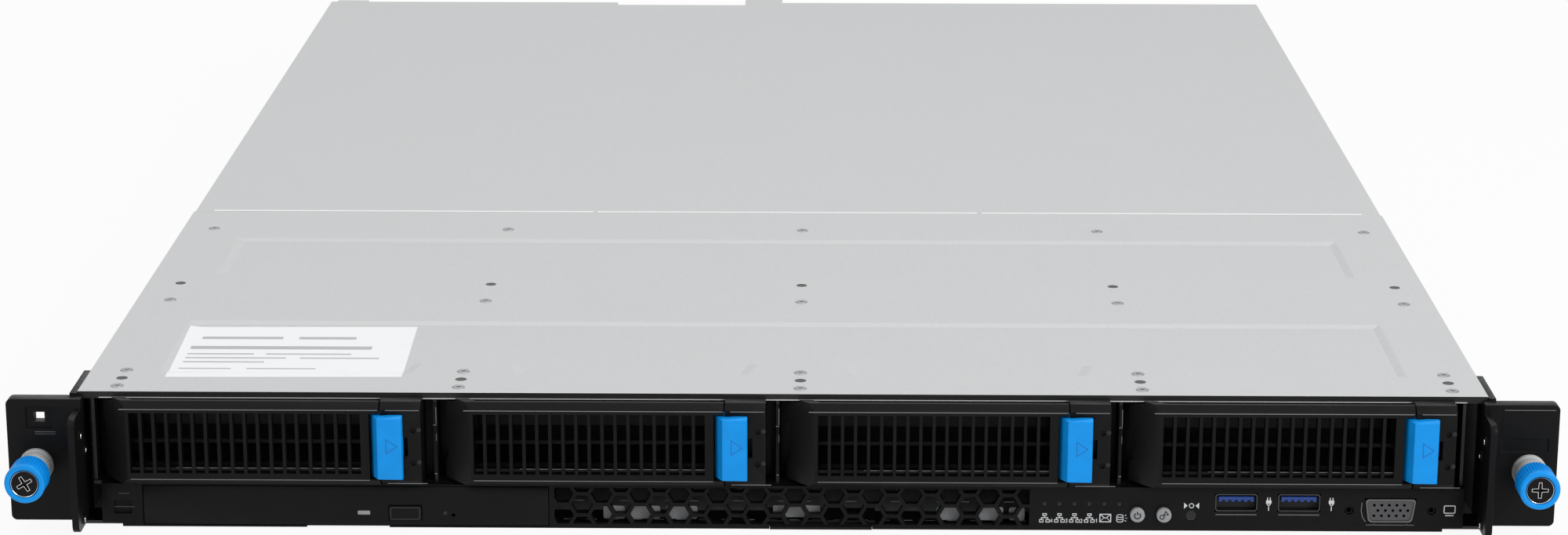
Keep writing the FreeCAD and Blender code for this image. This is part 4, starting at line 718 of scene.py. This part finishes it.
def make_ear_rivets():
    """Rivets on the inner faces of the ears' pull flanges, with a bright centre mark."""
    heads, marks = bmesh.new(), bmesh.new()
    for side, way in (("left", 1), ("right", -1)):
        low, high = box_mm(f"{side}_rack_ear")
        face = high.x if way > 0 else low.x
        for y, z in ((-9.0, 31.8), (-2.5, 25.2), (-9.0, 4.6)):
            head = [(1.7, -0.1), (1.65, 0.3), (1.3, 0.5), (0.95, 0.56)]
            lathe(heads, head, (face, y, z), (way, 0, 0), 24)
            lathe(marks, [(0.95, 0.5), (0.85, 0.68), (0.5, 0.76)], (face, y, z), (way, 0, 0), 16)
    put("ear_rivets", heads, "black_paint")
    put("ear_rivet_centres", marks, "bright_metal")


def make_ear_field():
    """A bare field on the right ear, where such a server carries its name."""
    low, high = box_mm("right_rack_ear")
    form = bmesh.new()
    slab(form, rectangle(low.x + 5.6, high.x - 1.0, 31.5, 40.6, 0.8), 4.7, 0.2)
    round_edges(put("right_ear_field", form, "panel_paint"), 0.1)
    # Painted highlights along the top of the field and on the left ear.
    glints = Marks("ear_glints", "worn_edge", 4.77, 0.16)
    glints.across(low.x + 6.2, high.x - 1.4, 40.75)
    low, high = box_mm("left_rack_ear")
    glints.across(high.x - 14.6, high.x - 8.2, 31.8)
    glints.across(high.x - 14.6, high.x - 8.2, 31.1, 0.1)
    glints.done()


for side in ("left", "right"):
    make_knob(side)
make_screw("left", 30)
make_screw("right", 0)
make_collars()
make_ear_rivets()
make_ear_field()


# Drive trays

UPPER_EDGE, LOWER_EDGE, FOOT_EDGE = 40.2, 17.4, 16.4
WINDOW_HEIGHTS = (33.9, 23.4)
FIRST_WALL, BAY_PITCH = -215.3, 107.0


def make_latch(number):
    """A blue latch: a block with a long bevel on its left and short ones above and below."""
    low, high = box_mm(f"tray_latch_{number}")
    form = bmesh.new()
    corners = [(low.x, high.y), (low.x, low.y + 5.2), (high.x, high.y), (high.x, low.y + 1.2)]
    points = [(x, y, z) for x, y in corners for z in (low.z, high.z)]
    points += [(x, low.y, z) for x in (low.x + 2.4, high.x - 0.25)
               for z in (low.z + 0.5, high.z - 0.7)]
    for point in points:
        form.verts.new(Vector(point) * MM)
    bmesh.ops.convex_hull(form, input=form.verts)
    bmesh.ops.dissolve_limit(form, angle_limit=math.radians(1), verts=form.verts,
                             edges=form.edges)
    piece = put(f"latch_block_{number}", form, "blue_plastic", f"latch_{number}")
    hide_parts(f"tray_latch_{number}")
    round_edges(piece, 0.3, 3, 12)


def make_tray_lines(number):
    """Painted highlights along the edges of a tray's front, and the lower cross-bar of its slots
    with a painted highlight on it.
    """
    low, high = box_mm(f"tray_lever_{number}")
    frame_low, frame_high = box_mm(f"tray_frame_{number}")
    face = -low.y - 0.07
    swing = Marks(f"lever_edges_{number}", "worn_edge", face, 0.24, "black_plastic",
                  f"lever_{number}")
    swing.across(low.x + 6.8, high.x - 0.3, UPPER_EDGE)
    swing.across(low.x + 9.6, high.x - 3.2, LOWER_EDGE, 0.2)
    swing.done()
    fixed = Marks(f"tray_edges_{number}", "worn_edge", -frame_low.y - 0.07, 0.22, "black_plastic",
                  f"tray_{number}")
    fixed.across(high.x + 2.1, frame_high.x - 3.2, UPPER_EDGE)
    fixed.across(high.x + 2.4, frame_high.x - 1.0, FOOT_EDGE, 0.2)
    fixed.done()
    bar = bmesh.new()
    slab(bar, rectangle(low.x + 10.0, high.x - 3.4, 20.0, 21.0), face - 1.6, 0.5)
    put(f"slot_bar_{number}", bar, "black_plastic", f"lever_{number}")
    glint = Marks(f"slot_glints_{number}", "worn_edge", face - 1.12, 0.16, "black_plastic",
                  f"lever_{number}")
    glint.across(low.x + 24.0, high.x - 5.0, 20.9)
    glint.done()


def slant_or_recess(middle, normal):
    """The slanted side and the wall behind the slots are painted a little paler than the front:
    painted light.
    """
    behind_slots = normal.y < -0.5 and -0.0025 < middle.y < 0.0005
    slanted = normal.x < -0.5 and normal.y < -0.4
    return 1 if slanted or behind_slots else 0


def make_tray(number):
    """One drive tray: rounded front, blue latch with its arrow, and light windows."""
    for node in (f"tray_frame_{number}", f"tray_lever_{number}"):
        dress(node, ["black_plastic", "plastic_with_painted_light"], 0.3, sort=slant_or_recess)
    make_latch(number)
    low, high = box_mm(f"tray_latch_{number}")
    tip = Vector((high.x - 1.6, (low.z + high.z) / 2 + 0.9))
    arrow = Marks(f"latch_arrow_{number}", "blue_mark", -low.y - 0.06, 0.2, "blue_plastic",
                  f"latch_{number}")
    arrow.loop([(tip.x - 3.4, tip.y + 2.3), (tip.x, tip.y), (tip.x - 3.4, tip.y - 2.3)])
    arrow.done()
    make_tray_lines(number)
    frame_low, frame_high = box_mm(f"tray_frame_{number}")
    windows = bmesh.new()
    for z in WINDOW_HEIGHTS:
        place = (frame_high.x - 3.4, frame_low.y, z)
        lathe(windows, [(0.75, -0.05), (0.72, 0.05), (0.5, 0.09)], place, (0, -1, 0), 20)
    put(f"tray_windows_{number}", windows, "lens", f"tray_{number}")


def make_bay_clips():
    """Thin guide clips on the walls between the bays with painted highlights, and a painted
    highlight on the panel's edge below them.
    """
    strips = bmesh.new()
    glints = Marks("clip_glints", "worn_edge", 0.6, 0.2, "galvanised_steel")
    edge = Marks("panel_edge_glints", "edge_light", 0.2, 0.34)
    top = box_mm("front_panel")[1].z
    for number in range(1, 4):
        x = FIRST_WALL + BAY_PITCH * number
        slab(strips, rectangle(x - 0.6, x + 0.5, 16.5, 40.0, 0.2), 0.0, 0.55)
        slab(strips, rectangle(x - 0.2, x + 0.5, 30.5, 33.0, 0.2), 0.5, 0.7)
        glints.stroke((x + 0.4, 39.0), (x + 0.4, 33.6))
        glints.stroke((x + 0.4, 28.0), (x + 0.4, 33.0), width=0.14)
        glints.across(x - 0.5, x + 0.5, 33.2, 0.3)
        glints.across(x - 0.3, x + 0.4, 17.2, 0.35)
        edge.across(x - 2.4, x + 2.6, top - 0.2)
    round_edges(put("bay_clips", strips, "black_paint"), 0.1)
    glints.done()
    edge.done()


for number in range(1, 5):
    make_tray(number)
make_bay_clips()


# Front panel

dress("front_panel", "panel_paint", 0.25)
dress("front_grille", "panel_paint", 0.12)
PANEL = -box_mm("front_panel")[0].y
PRINT = PANEL - 0.05
LIGHT_X = [82.4 + 4.68 * number for number in range(6)]
LIGHT_Z, ICON_Z = 8.6, 4.1
BEACON_X, BEACON_Z = 128.3, 4.9
PLUG_Z = 9.0
MONITOR_X, MONITOR_Z = 209.0, 7.0
DIGITS = {
    1: [(0.1, 0.8), (0.35, 1.0), (0.35, 0.0)],
    2: [(0.0, 0.8), (0.25, 1.0), (0.5, 0.8), (0.45, 0.5), (0.0, 0.0), (0.55, 0.0)],
    3: [(0.0, 1.0), (0.5, 1.0), (0.25, 0.6), (0.52, 0.35), (0.35, 0.02), (0.0, 0.06)],
    4: [(0.4, 0.0), (0.4, 1.0), (0.0, 0.3), (0.6, 0.3)],
}


def network_icon(ink, x, z, digit):
    """Three linked boxes and the number of the port."""
    ink.loop(rectangle(x - 0.55, x + 0.55, z + 0.75, z + 1.4), 0.24)
    for side in (-1.0, 1.0):
        ink.loop(rectangle(x + side - 0.55, x + side + 0.55, z - 1.4, z - 0.6), 0.24)
        ink.stroke((x + side, z - 0.55), (x + side, z + 0.05))
    ink.across(x - 1.14, x + 1.14, z + 0.05)
    ink.stroke((x, z + 0.05), (x, z + 0.7))
    points = [(x + 1.95 + u * 0.9, z - 1.5 + v * 1.1) for u, v in DIGITS[digit]]
    ink.stroke(*points, width=0.2)


def envelope_icon(ink, x, z):
    """A closed letter."""
    ink.loop(rectangle(x - 1.7, x + 1.7, z - 1.25, z + 1.25))
    ink.stroke((x - 1.6, z + 1.15), (x, z - 0.1), (x + 1.6, z + 1.15), width=0.22)
    ink.stroke((x - 1.6, z - 1.15), (x - 0.45, z + 0.15), width=0.18)
    ink.stroke((x + 1.6, z - 1.15), (x + 0.45, z + 0.15), width=0.18)


def disc_icon(ink, x, z):
    """A stack of discs with three rays."""
    ink.loop(ellipse(x, z + 0.7, 1.0, 0.45, 16), 0.24)
    ink.stroke((x - 1.0, z + 0.7), (x - 1.0, z - 0.95), (x - 0.5, z - 1.3), (x + 0.5, z - 1.3),
               (x + 1.0, z - 0.95), (x + 1.0, z + 0.7), width=0.24)
    ink.stroke((x - 1.0, z - 0.2), (x - 0.4, z - 0.5), (x + 0.4, z - 0.5), (x + 1.0, z - 0.2),
               width=0.2)
    for dx, dz in ((1.5, 0.8), (1.75, 0.0), (1.5, -0.8)):
        ink.stroke((x + dx, z + dz), (x + dx + 0.5, z + dz * 1.3), width=0.2)


def beacon_icon(ink, x, z):
    """Two triangles that point at a ring."""
    for side in (-1, 1):
        ink.fill([(x + side * 1.25, z), (x + side * 2.35, z + 1.0), (x + side * 2.35, z - 1.0)])
    ink.loop(ellipse(x, z, 0.7, 0.7, 16), 0.24)


def plug_icon(ink, x, z):
    """A plain plug with two pins and a lead."""
    ink.fill(rectangle(x - 0.85, x + 0.85, z + 0.1, z + 1.2, 0.2))
    for side in (-0.42, 0.42):
        ink.stroke((x + side, z + 1.2), (x + side, z + 2.1), width=0.3)
    ink.stroke((x - 0.6, z + 0.1), (x, z - 0.7), (x + 0.6, z + 0.1), width=0.3)
    ink.stroke((x, z - 0.6), (x, z - 2.2), width=0.3)


def monitor_icon(ink, x, z):
    """A screen on a foot."""
    ink.loop(rectangle(x - 1.7, x + 1.7, z - 0.8, z + 1.6, 0.3), 0.34)
    ink.across(x - 1.3, x + 1.3, z - 1.6, 0.36)


def make_lights():
    """Glints at the lower edges of the light holes."""
    form = bmesh.new()
    for x in LIGHT_X:
        band(form, arc(x, LIGHT_Z, 0.56, 205, 335, 8), 0.16, 2.08, 0.08)
    band(form, arc(BEACON_X, BEACON_Z, 1.4, 210, 330, 10), 0.22, 2.08, 0.08)
    put("light_glints", form, "socket_rim")


def make_button_marks():
    """The power sign and the locator sign on their buttons."""
    x, z = middle_of("power_button")
    face = -box_mm("power_button")[0].y - 0.04
    power = Marks("power_sign", "dark_ink", face, 0.4, "grey_plastic", "power_key")
    power.stroke(*arc(x, z - 0.1, 0.95, 125, 415, 18))
    power.stroke((x, z + 0.1), (x, z + 1.25))
    power.done()
    x, z = middle_of("locator_button")
    face = -box_mm("locator_button")[0].y - 0.04
    beacon = Marks("locator_sign", "dark_ink", face, 0.3, "grey_plastic", "locator_key")
    beacon.loop(ellipse(x - 0.6, z - 0.5, 0.68, 0.68, 16))
    beacon.loop([(x - 0.1, z + 0.1), (x + 1.35, z + 0.35), (x + 0.45, z + 1.4)])
    beacon.done()


def make_usb():
    """Two sockets: a thin rounded shell, a dark room and a blue tongue with pads."""
    shells, rooms, tongues = bmesh.new(), bmesh.new(), bmesh.new()
    front, depth, skin = PANEL, 14.0, 0.34
    # A thin painted highlight below each socket.
    ink = Marks("socket_lines", "worn_edge", PRINT, 0.22)
    for low, high in islands("usb_ports"):
        x0, x1, top, foot = low.x / MM, high.x / MM, high.z / MM, low.z / MM
        bottom = top - 5.7
        outline = rectangle(x0, x1, bottom, top, 0.9)
        room = rectangle(x0 + skin, x1 - skin, bottom + skin, top - skin, 0.6)
        pierced(shells, outline, [room], front, depth)
        slab(shells, rectangle(x0, x1, foot, bottom), -depth + front, depth - 5.7)
        inner = rectangle(x0 + skin + 0.02, x1 - skin - 0.02, bottom + skin + 0.02,
                          top - skin - 0.02, 0.6)
        # A dark sheet inside each socket: painted shade in its room.
        slab(rooms, inner, front - 3.2, 0.1)
        left, right = x0 + 1.1, x1 - 1.1
        upper, lower = top - 1.1, top - 2.8
        step = (right - left) / 11
        edge = []
        for tooth in range(11):
            deep = 0.0 if tooth % 2 == 0 else 0.6
            edge += [(left + tooth * step, lower + deep), (left + (tooth + 1) * step, lower + deep)]
        slab(tongues, [(left, upper)] + edge + [(right, upper)], front - 11.0, 10.3)
        ink.across(x0 + 0.2, x1 - 0.2, bottom - 1.1)
    shell = put("usb_shells", shells, "socket_rim")
    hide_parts("usb_ports")
    put("usb_rooms", rooms, "socket_dark")
    round_edges(put("usb_tongues", tongues, "socket_blue"), 0.1)
    ink.done()


def shield(x, z, half, rise, slant, grow=0.0, corner=1.3):
    """Outline of a D-shaped display socket, wider at the top, with rounded corners."""
    half, rise = half + grow, rise + grow
    corners = [(x - half, z + rise), (x - half + slant, z - rise), (x + half - slant, z - rise),
               (x + half, z + rise)]
    points = []
    for i, here in enumerate(corners):
        here = Vector(here)
        before, after = Vector(corners[i - 1]), Vector(corners[(i + 1) % 4])
        start = here + (before - here).normalized() * corner
        end = here + (after - here).normalized() * corner
        for step in range(5):
            share = step / 4
            point = start.lerp(here, share).lerp(here.lerp(end, share), share)
            points.append((point.x, point.y))
    return points


def make_vga():
    """Display socket: rimmed D shell, insert with three rows of contacts, two hex studs."""
    low, high = box_mm("vga_port")
    x, z, front = (low.x + high.x) / 2, 7.0, -low.y
    size = (7.95, 3.8, 1.1)
    rim, insert, base, studs = bmesh.new(), bmesh.new(), bmesh.new(), bmesh.new()
    pierced(rim, shield(x, z, *size), [shield(x, z, *size, -0.45)], front, 2.7)
    holes = []
    for row, shift in ((1.75, 0.0), (0.0, 0.5), (-1.75, 0.0)):
        for number in range(5):
            spot = x + (number - 2 + shift - 0.15) * 2.34
            holes.append(ellipse(spot, z + row, 0.5, 0.5, 12))
    pierced(insert, shield(x, z, *size, -0.5), holes, front - 0.35, 2.2)
    slab(base, rectangle(low.x, high.x, low.z, high.z, 0.6), -0.6, 0.5)
    slab(base, rectangle(low.x, high.x, low.z, high.z - 1.0), -high.y, high.y - 0.6)
    for side in (-12.85, 12.85):
        hexagon = ellipse(x + side, z, 1.25, 1.25, 6)
        pierced(studs, hexagon, [ellipse(x + side, z, 0.8, 0.8, 16)], 1.9, 1.8)
    shell = put("vga_rim", rim, "rim_steel")
    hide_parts("vga_port")
    put("vga_insert", insert, "insert_grey")
    put("vga_base", base, "dark_plastic")
    put("vga_studs", studs, "screw_dark")
    # Painted highlights on the edges of the socket's recess and below it.
    glints = Marks("vga_glints", "worn_edge", PRINT, 0.2)
    glints.across(x - 7.4, x + 7.6, z - 4.8, 0.16)
    glints.stroke((x - 8.9, z + 2.6), (x - 9.1, z), (x - 8.6, z - 2.2), (x - 7.6, z - 3.7))
    for spot in (-5.0, 5.4):
        glints.across(x + spot - 0.3, x + spot + 0.3, z - 4.75, 0.34)
    glints.done()


def make_disc_front():
    """Details of the disc tray's front: a busy light, a pinhole of painted shade, an eject outline,
    lines of painted highlight.
    """
    low = box_mm("disc_tray")[0]
    face = -low.y
    light = bmesh.new()
    slab(light, rectangle(-133.0, -129.1, 4.2, 5.5, 0.25), face - 0.05, 0.14)
    round_edges(put("busy_light", light, "grey_plastic", "disc_drawer"), 0.05)
    # A dark dish: painted shade for the pinhole.
    hole = bmesh.new()
    lathe(hole, [(0.62, -0.05), (0.6, 0.04), (0.45, 0.05), (0.42, 0.01)],
          (-105.5, low.y, 4.8), (0, -1, 0), 20)
    put("eject_pinhole", hole, "socket_dark", "disc_drawer")
    panel_glints = Marks("panel_glints", "faint_edge", PRINT, 0.16)
    panel_glints.across(low.x - 7.6, low.x - 4.3, 10.9)
    panel_glints.across(low.x - 9.2, low.x - 2.8, 6.5)
    panel_glints.done()
    low, high = box_mm("eject_button")
    ring = Marks("eject_outline", "faint_edge", -low.y - 0.06, 0.12, "grey_plastic", "eject",
                 lift=0.08)
    ring.loop(rectangle(low.x + 0.5, high.x - 0.5, low.z + 0.5, high.z - 0.5, 0.7))
    ring.done()


PLATE_SPANS = ((-56.1, -49.2), (-47.6, -38.2), (-36.4, -26.5), (48.6, 56.0), (61.4, 69.6),
               (71.4, 76.4))
FIRST_GLINT, GLINT_PITCH = -67.0, 7.1


def make_grille_plates():
    """Pale parts right behind the lower halves of the grille's holes."""
    form = bmesh.new()
    for x0, x1 in PLATE_SPANS:
        slab(form, rectangle(x0, x1, 2.0, 6.3, 0.7), -1.6, 0.9)
    slab(form, rectangle(-2.8, 12.2, 2.6, 6.6, 0.5), -1.7, 0.7)
    round_edges(put("grille_plates", form, "pale_part"), 0.2)
    # Painted highlights along the lower edges of the grille's holes.
    glints = Marks("grille_glints", "worn_edge", -0.6, 0.2)
    for number in range(21):
        x = FIRST_GLINT + GLINT_PITCH * number
        glints.across(x - 1.6, x + 1.6, 2.0)
        glints.across(x + 1.95, x + 5.15, 8.2, 0.14)
    glints.done()


dress("disc_tray", "black_plastic", 0.3)
dress("eject_button", "black_plastic", 0.25)
for button in ("power_button", "locator_button"):
    dress(button, "grey_plastic", 0.25)
print_on_panel = Marks("panel_print", "ink", PRINT)
for number, x in enumerate(LIGHT_X[:4]):
    network_icon(print_on_panel, x, ICON_Z, 4 - number)
envelope_icon(print_on_panel, LIGHT_X[4] + 0.3, ICON_Z)
disc_icon(print_on_panel, LIGHT_X[5] + 0.2, ICON_Z)
beacon_icon(print_on_panel, BEACON_X, BEACON_Z + 3.4)
for low, high in islands("usb_ports"):
    plug_icon(print_on_panel, high.x / MM + 3.5, PLUG_Z)
monitor_icon(print_on_panel, MONITOR_X, MONITOR_Z)
print_on_panel.done()
make_lights()
make_button_marks()
make_usb()
make_vga()
make_disc_front()
make_grille_plates()


# Rear

SUPPLY_REAR = 617.5
INLET_X = -176.0


def make_cover_screw():
    """The rear cover's thumbscrew: a ribbed grip, a collar and a slot."""
    low, high = box_mm("cover_thumbscrew")
    x, z = middle_of("cover_thumbscrew")
    form = bmesh.new()
    radius = (high.x - low.x) / 2
    grip = high.y - 6.5
    profile = [(1.9, low.y), (1.9, grip - 0.6), (radius - 0.9, grip - 0.6),
               (radius - 0.9, grip), (radius - 0.3, grip), (radius, grip + 0.4, 0.25),
               (radius, high.y - 0.6, 0.25), (radius - 0.5, high.y - 0.1), (2.4, high.y),
               (2.2, high.y - 0.8)]
    lathe(form, profile, (x, 0, z), (0, 1, 0), 60)
    piece = put("cover_screw_turned", form, "bright_metal",
                "cover_screw")
    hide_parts("cover_thumbscrew")


def make_inlet_pins():
    """Three contacts in the mains inlet of the supply."""
    form = bmesh.new()
    for dx, z in ((-5.0, 11.5), (5.0, 11.5), (0.0, 15.8)):
        pin = rectangle(INLET_X + dx - 0.9, INLET_X + dx + 0.9, z - 2.0, z + 2.0, 0.2)
        slab(form, pin, -SUPPLY_REAR + 1.5, 7.0)
    put("inlet_pins", form, "bright_metal", "supply")


def make_supply_grille():
    """Round wire guard over the fan of the supply."""
    form = bmesh.new()
    x, z, rear = -181.0, 29.0, -SUPPLY_REAR
    for radius in (9.5, 7.6, 5.7, 3.8):
        band(form, ellipse(x, z, radius, radius, 36), 0.7, rear - 0.35, 0.45, True)
    for turn in range(4):
        angle = math.radians(45 + 90 * turn)
        ends = [(x + reach * math.cos(angle), z + reach * math.sin(angle)) for reach in (2, 10.6)]
        band(form, ends, 0.7, rear - 0.4, 0.4)
    slab(form, ellipse(x, z, 2.2, 2.2, 20), rear - 0.4, 0.5)
    put("supply_guard", form, "bright_metal", "supply")
    # A dark disc behind the guard: painted shade in the fan's opening.
    dark = bmesh.new()
    slab(dark, ellipse(x, z, 10.4, 10.4, 36), rear - 0.03, 0.08)
    put("supply_opening", dark, "socket_dark", "supply")


def make_vents():
    """Rows of slots in the blank plates of the rear, drawn as thin dark strips of painted shade."""
    form = bmesh.new()
    for low, high in islands("rear_blanks"):
        low, high = low / MM, high / MM
        if high.x - low.x < high.z - low.z:
            continue
        rear = -high.y - 0.04
        count = int((high.x - low.x - 6.0) / 3.0)
        for number in range(count):
            x = low.x + 4.0 + 3.0 * number
            slab(form, rectangle(x - 0.7, x + 0.7, low.z + 3.2, high.z - 3.2, 0.65), rear, 0.08)
    put("blank_vents", form, "socket_dark")


def make_port_contacts():
    """Tongues and gold contacts inside the rear ports."""
    tongues, contacts = bmesh.new(), bmesh.new()
    for low, high in islands("rear_ports"):
        low, high = low / MM, high / MM
        back = -high.y + 4.0
        if high.z - low.z > 14.5:
            for z in (low.z + 4.2, low.z + 11.2):
                slab(tongues, rectangle(low.x + 2.0, high.x - 2.0, z, z + 1.8), back - 8.0, 7.0)
        else:
            for number in range(8):
                x = low.x + 4.0 + number * 1.15
                slab(contacts, rectangle(x - 0.2, x + 0.2, high.z - 3.6, high.z - 1.8),
                     back - 7.0, 6.0)
    round_edges(put("rear_tongues", tongues, "socket_blue"), 0.1)
    put("rear_contacts", contacts, "gold_contact")


make_cover_screw()
make_inlet_pins()
make_supply_grille()
make_vents()
make_port_contacts()


# Stage, light and camera

FLOOR_PAINT = (0.86, 0.86, 0.86, 1)
FLOOR_GLOW = 0.92
FLOOR_HALF, FLOOR_GAP = 6.0, 0.0004
SKY_LIGHT, SKY_SEEN = 0.30, 1.0


def seen_directly(tree):
    """One for what the camera or a mirror sees, zero for the light that surfaces get."""
    path = tree.nodes.new("ShaderNodeLightPath")
    seen = tree.nodes.new("ShaderNodeMath")
    seen.operation = "MAXIMUM"
    tree.links.new(path.outputs["Is Camera Ray"], seen.inputs[0])
    tree.links.new(path.outputs["Is Glossy Ray"], seen.inputs[1])
    return seen.outputs[0]


def make_stage():
    """A pale floor with a soft shadow, white to the camera."""
    floor = Finish("floor", FLOOR_PAINT, 0.9, 0.0, 0.1)
    share = floor.node("ShaderNodeMath", {1: FLOOR_GLOW}, operation="MULTIPLY")
    floor.link(seen_directly(floor.tree), share.inputs[0])
    glow = floor.node("ShaderNodeEmission")
    mix = floor.node("ShaderNodeMixShader")
    floor.link(share.outputs[0], mix.inputs["Fac"])
    floor.link(floor.shader.outputs[0], mix.inputs[1])
    floor.link(glow.outputs[0], mix.inputs[2])
    floor.link(mix.outputs[0], floor.tree.nodes["Material Output"].inputs["Surface"])
    mesh = bpy.data.meshes.new("floor")
    half = FLOOR_HALF
    corners = [(-half, -half, 0), (half, -half, 0), (half, half, 0), (-half, half, 0)]
    mesh.from_pydata(corners, [], [(0, 1, 2, 3)])
    mesh.materials.append(floor.material)
    piece = bpy.data.objects.new("floor", mesh)
    piece.location.z = cad_box[0][2] - FLOOR_GAP
    bpy.context.collection.objects.link(piece)


def make_world():
    """Even light from all round, shown as white."""
    world = bpy.data.worlds.new("studio")
    bpy.context.scene.world = world
    world.use_nodes = True
    tree = world.node_tree
    sky = tree.nodes["Background"]
    sky.inputs["Color"].default_value = (1, 1, 1, 1)
    level = tree.nodes.new("ShaderNodeMapRange")
    set_sockets(level, {"To Min": SKY_LIGHT, "To Max": SKY_SEEN})
    tree.links.new(seen_directly(tree), level.inputs["Value"])
    tree.links.new(level.outputs[0], sky.inputs["Strength"])


def area_light(name, spot, aim, across, up, watts):
    """A rectangular lamp, in metres and watts."""
    lamp = bpy.data.lights.new(name, "AREA")
    lamp.shape = "RECTANGLE"
    lamp.size, lamp.size_y = across, up
    lamp.energy = watts
    lamp_object = bpy.data.objects.new(name, lamp)
    lamp_object.location = spot
    lamp_object.rotation_euler = (Vector(aim) - Vector(spot)).to_track_quat("-Z", "Y").to_euler()
    bpy.context.collection.objects.link(lamp_object)


CAMERA_SPOT = (9.4, -1083.8, 385.0)
CAMERA_DOWN, CAMERA_LEAN, CAMERA_TURN = 15.5, -0.09, 0.49


def make_camera():
    """The view of the photo, from the front and above."""
    camera = bpy.data.cameras.new("camera")
    camera.sensor_width = 36.0
    camera.lens = 83.75
    camera.clip_start = 0.01
    view = bpy.data.objects.new("camera", camera)
    view.location = Vector(CAMERA_SPOT) * MM
    angles = (90 - CAMERA_DOWN, CAMERA_LEAN, CAMERA_TURN)
    view.rotation_euler = [math.radians(angle) for angle in angles]
    bpy.context.collection.objects.link(view)
    bpy.context.scene.camera = view


make_stage()
make_world()
area_light("key", (1.5, -1.3, 1.2), (0, 0.1, 0), 1.2, 1.0, 30)
area_light("fill", (-1.2, -0.9, 1.2), (0, 0.1, 0), 1.0, 1.0, 5)
area_light("top", (-0.1, 0.7, 1.8), (0, 0.3, 0), 1.8, 1.2, 12)
make_camera()
bpy.context.scene.view_settings.view_transform = "Standard"
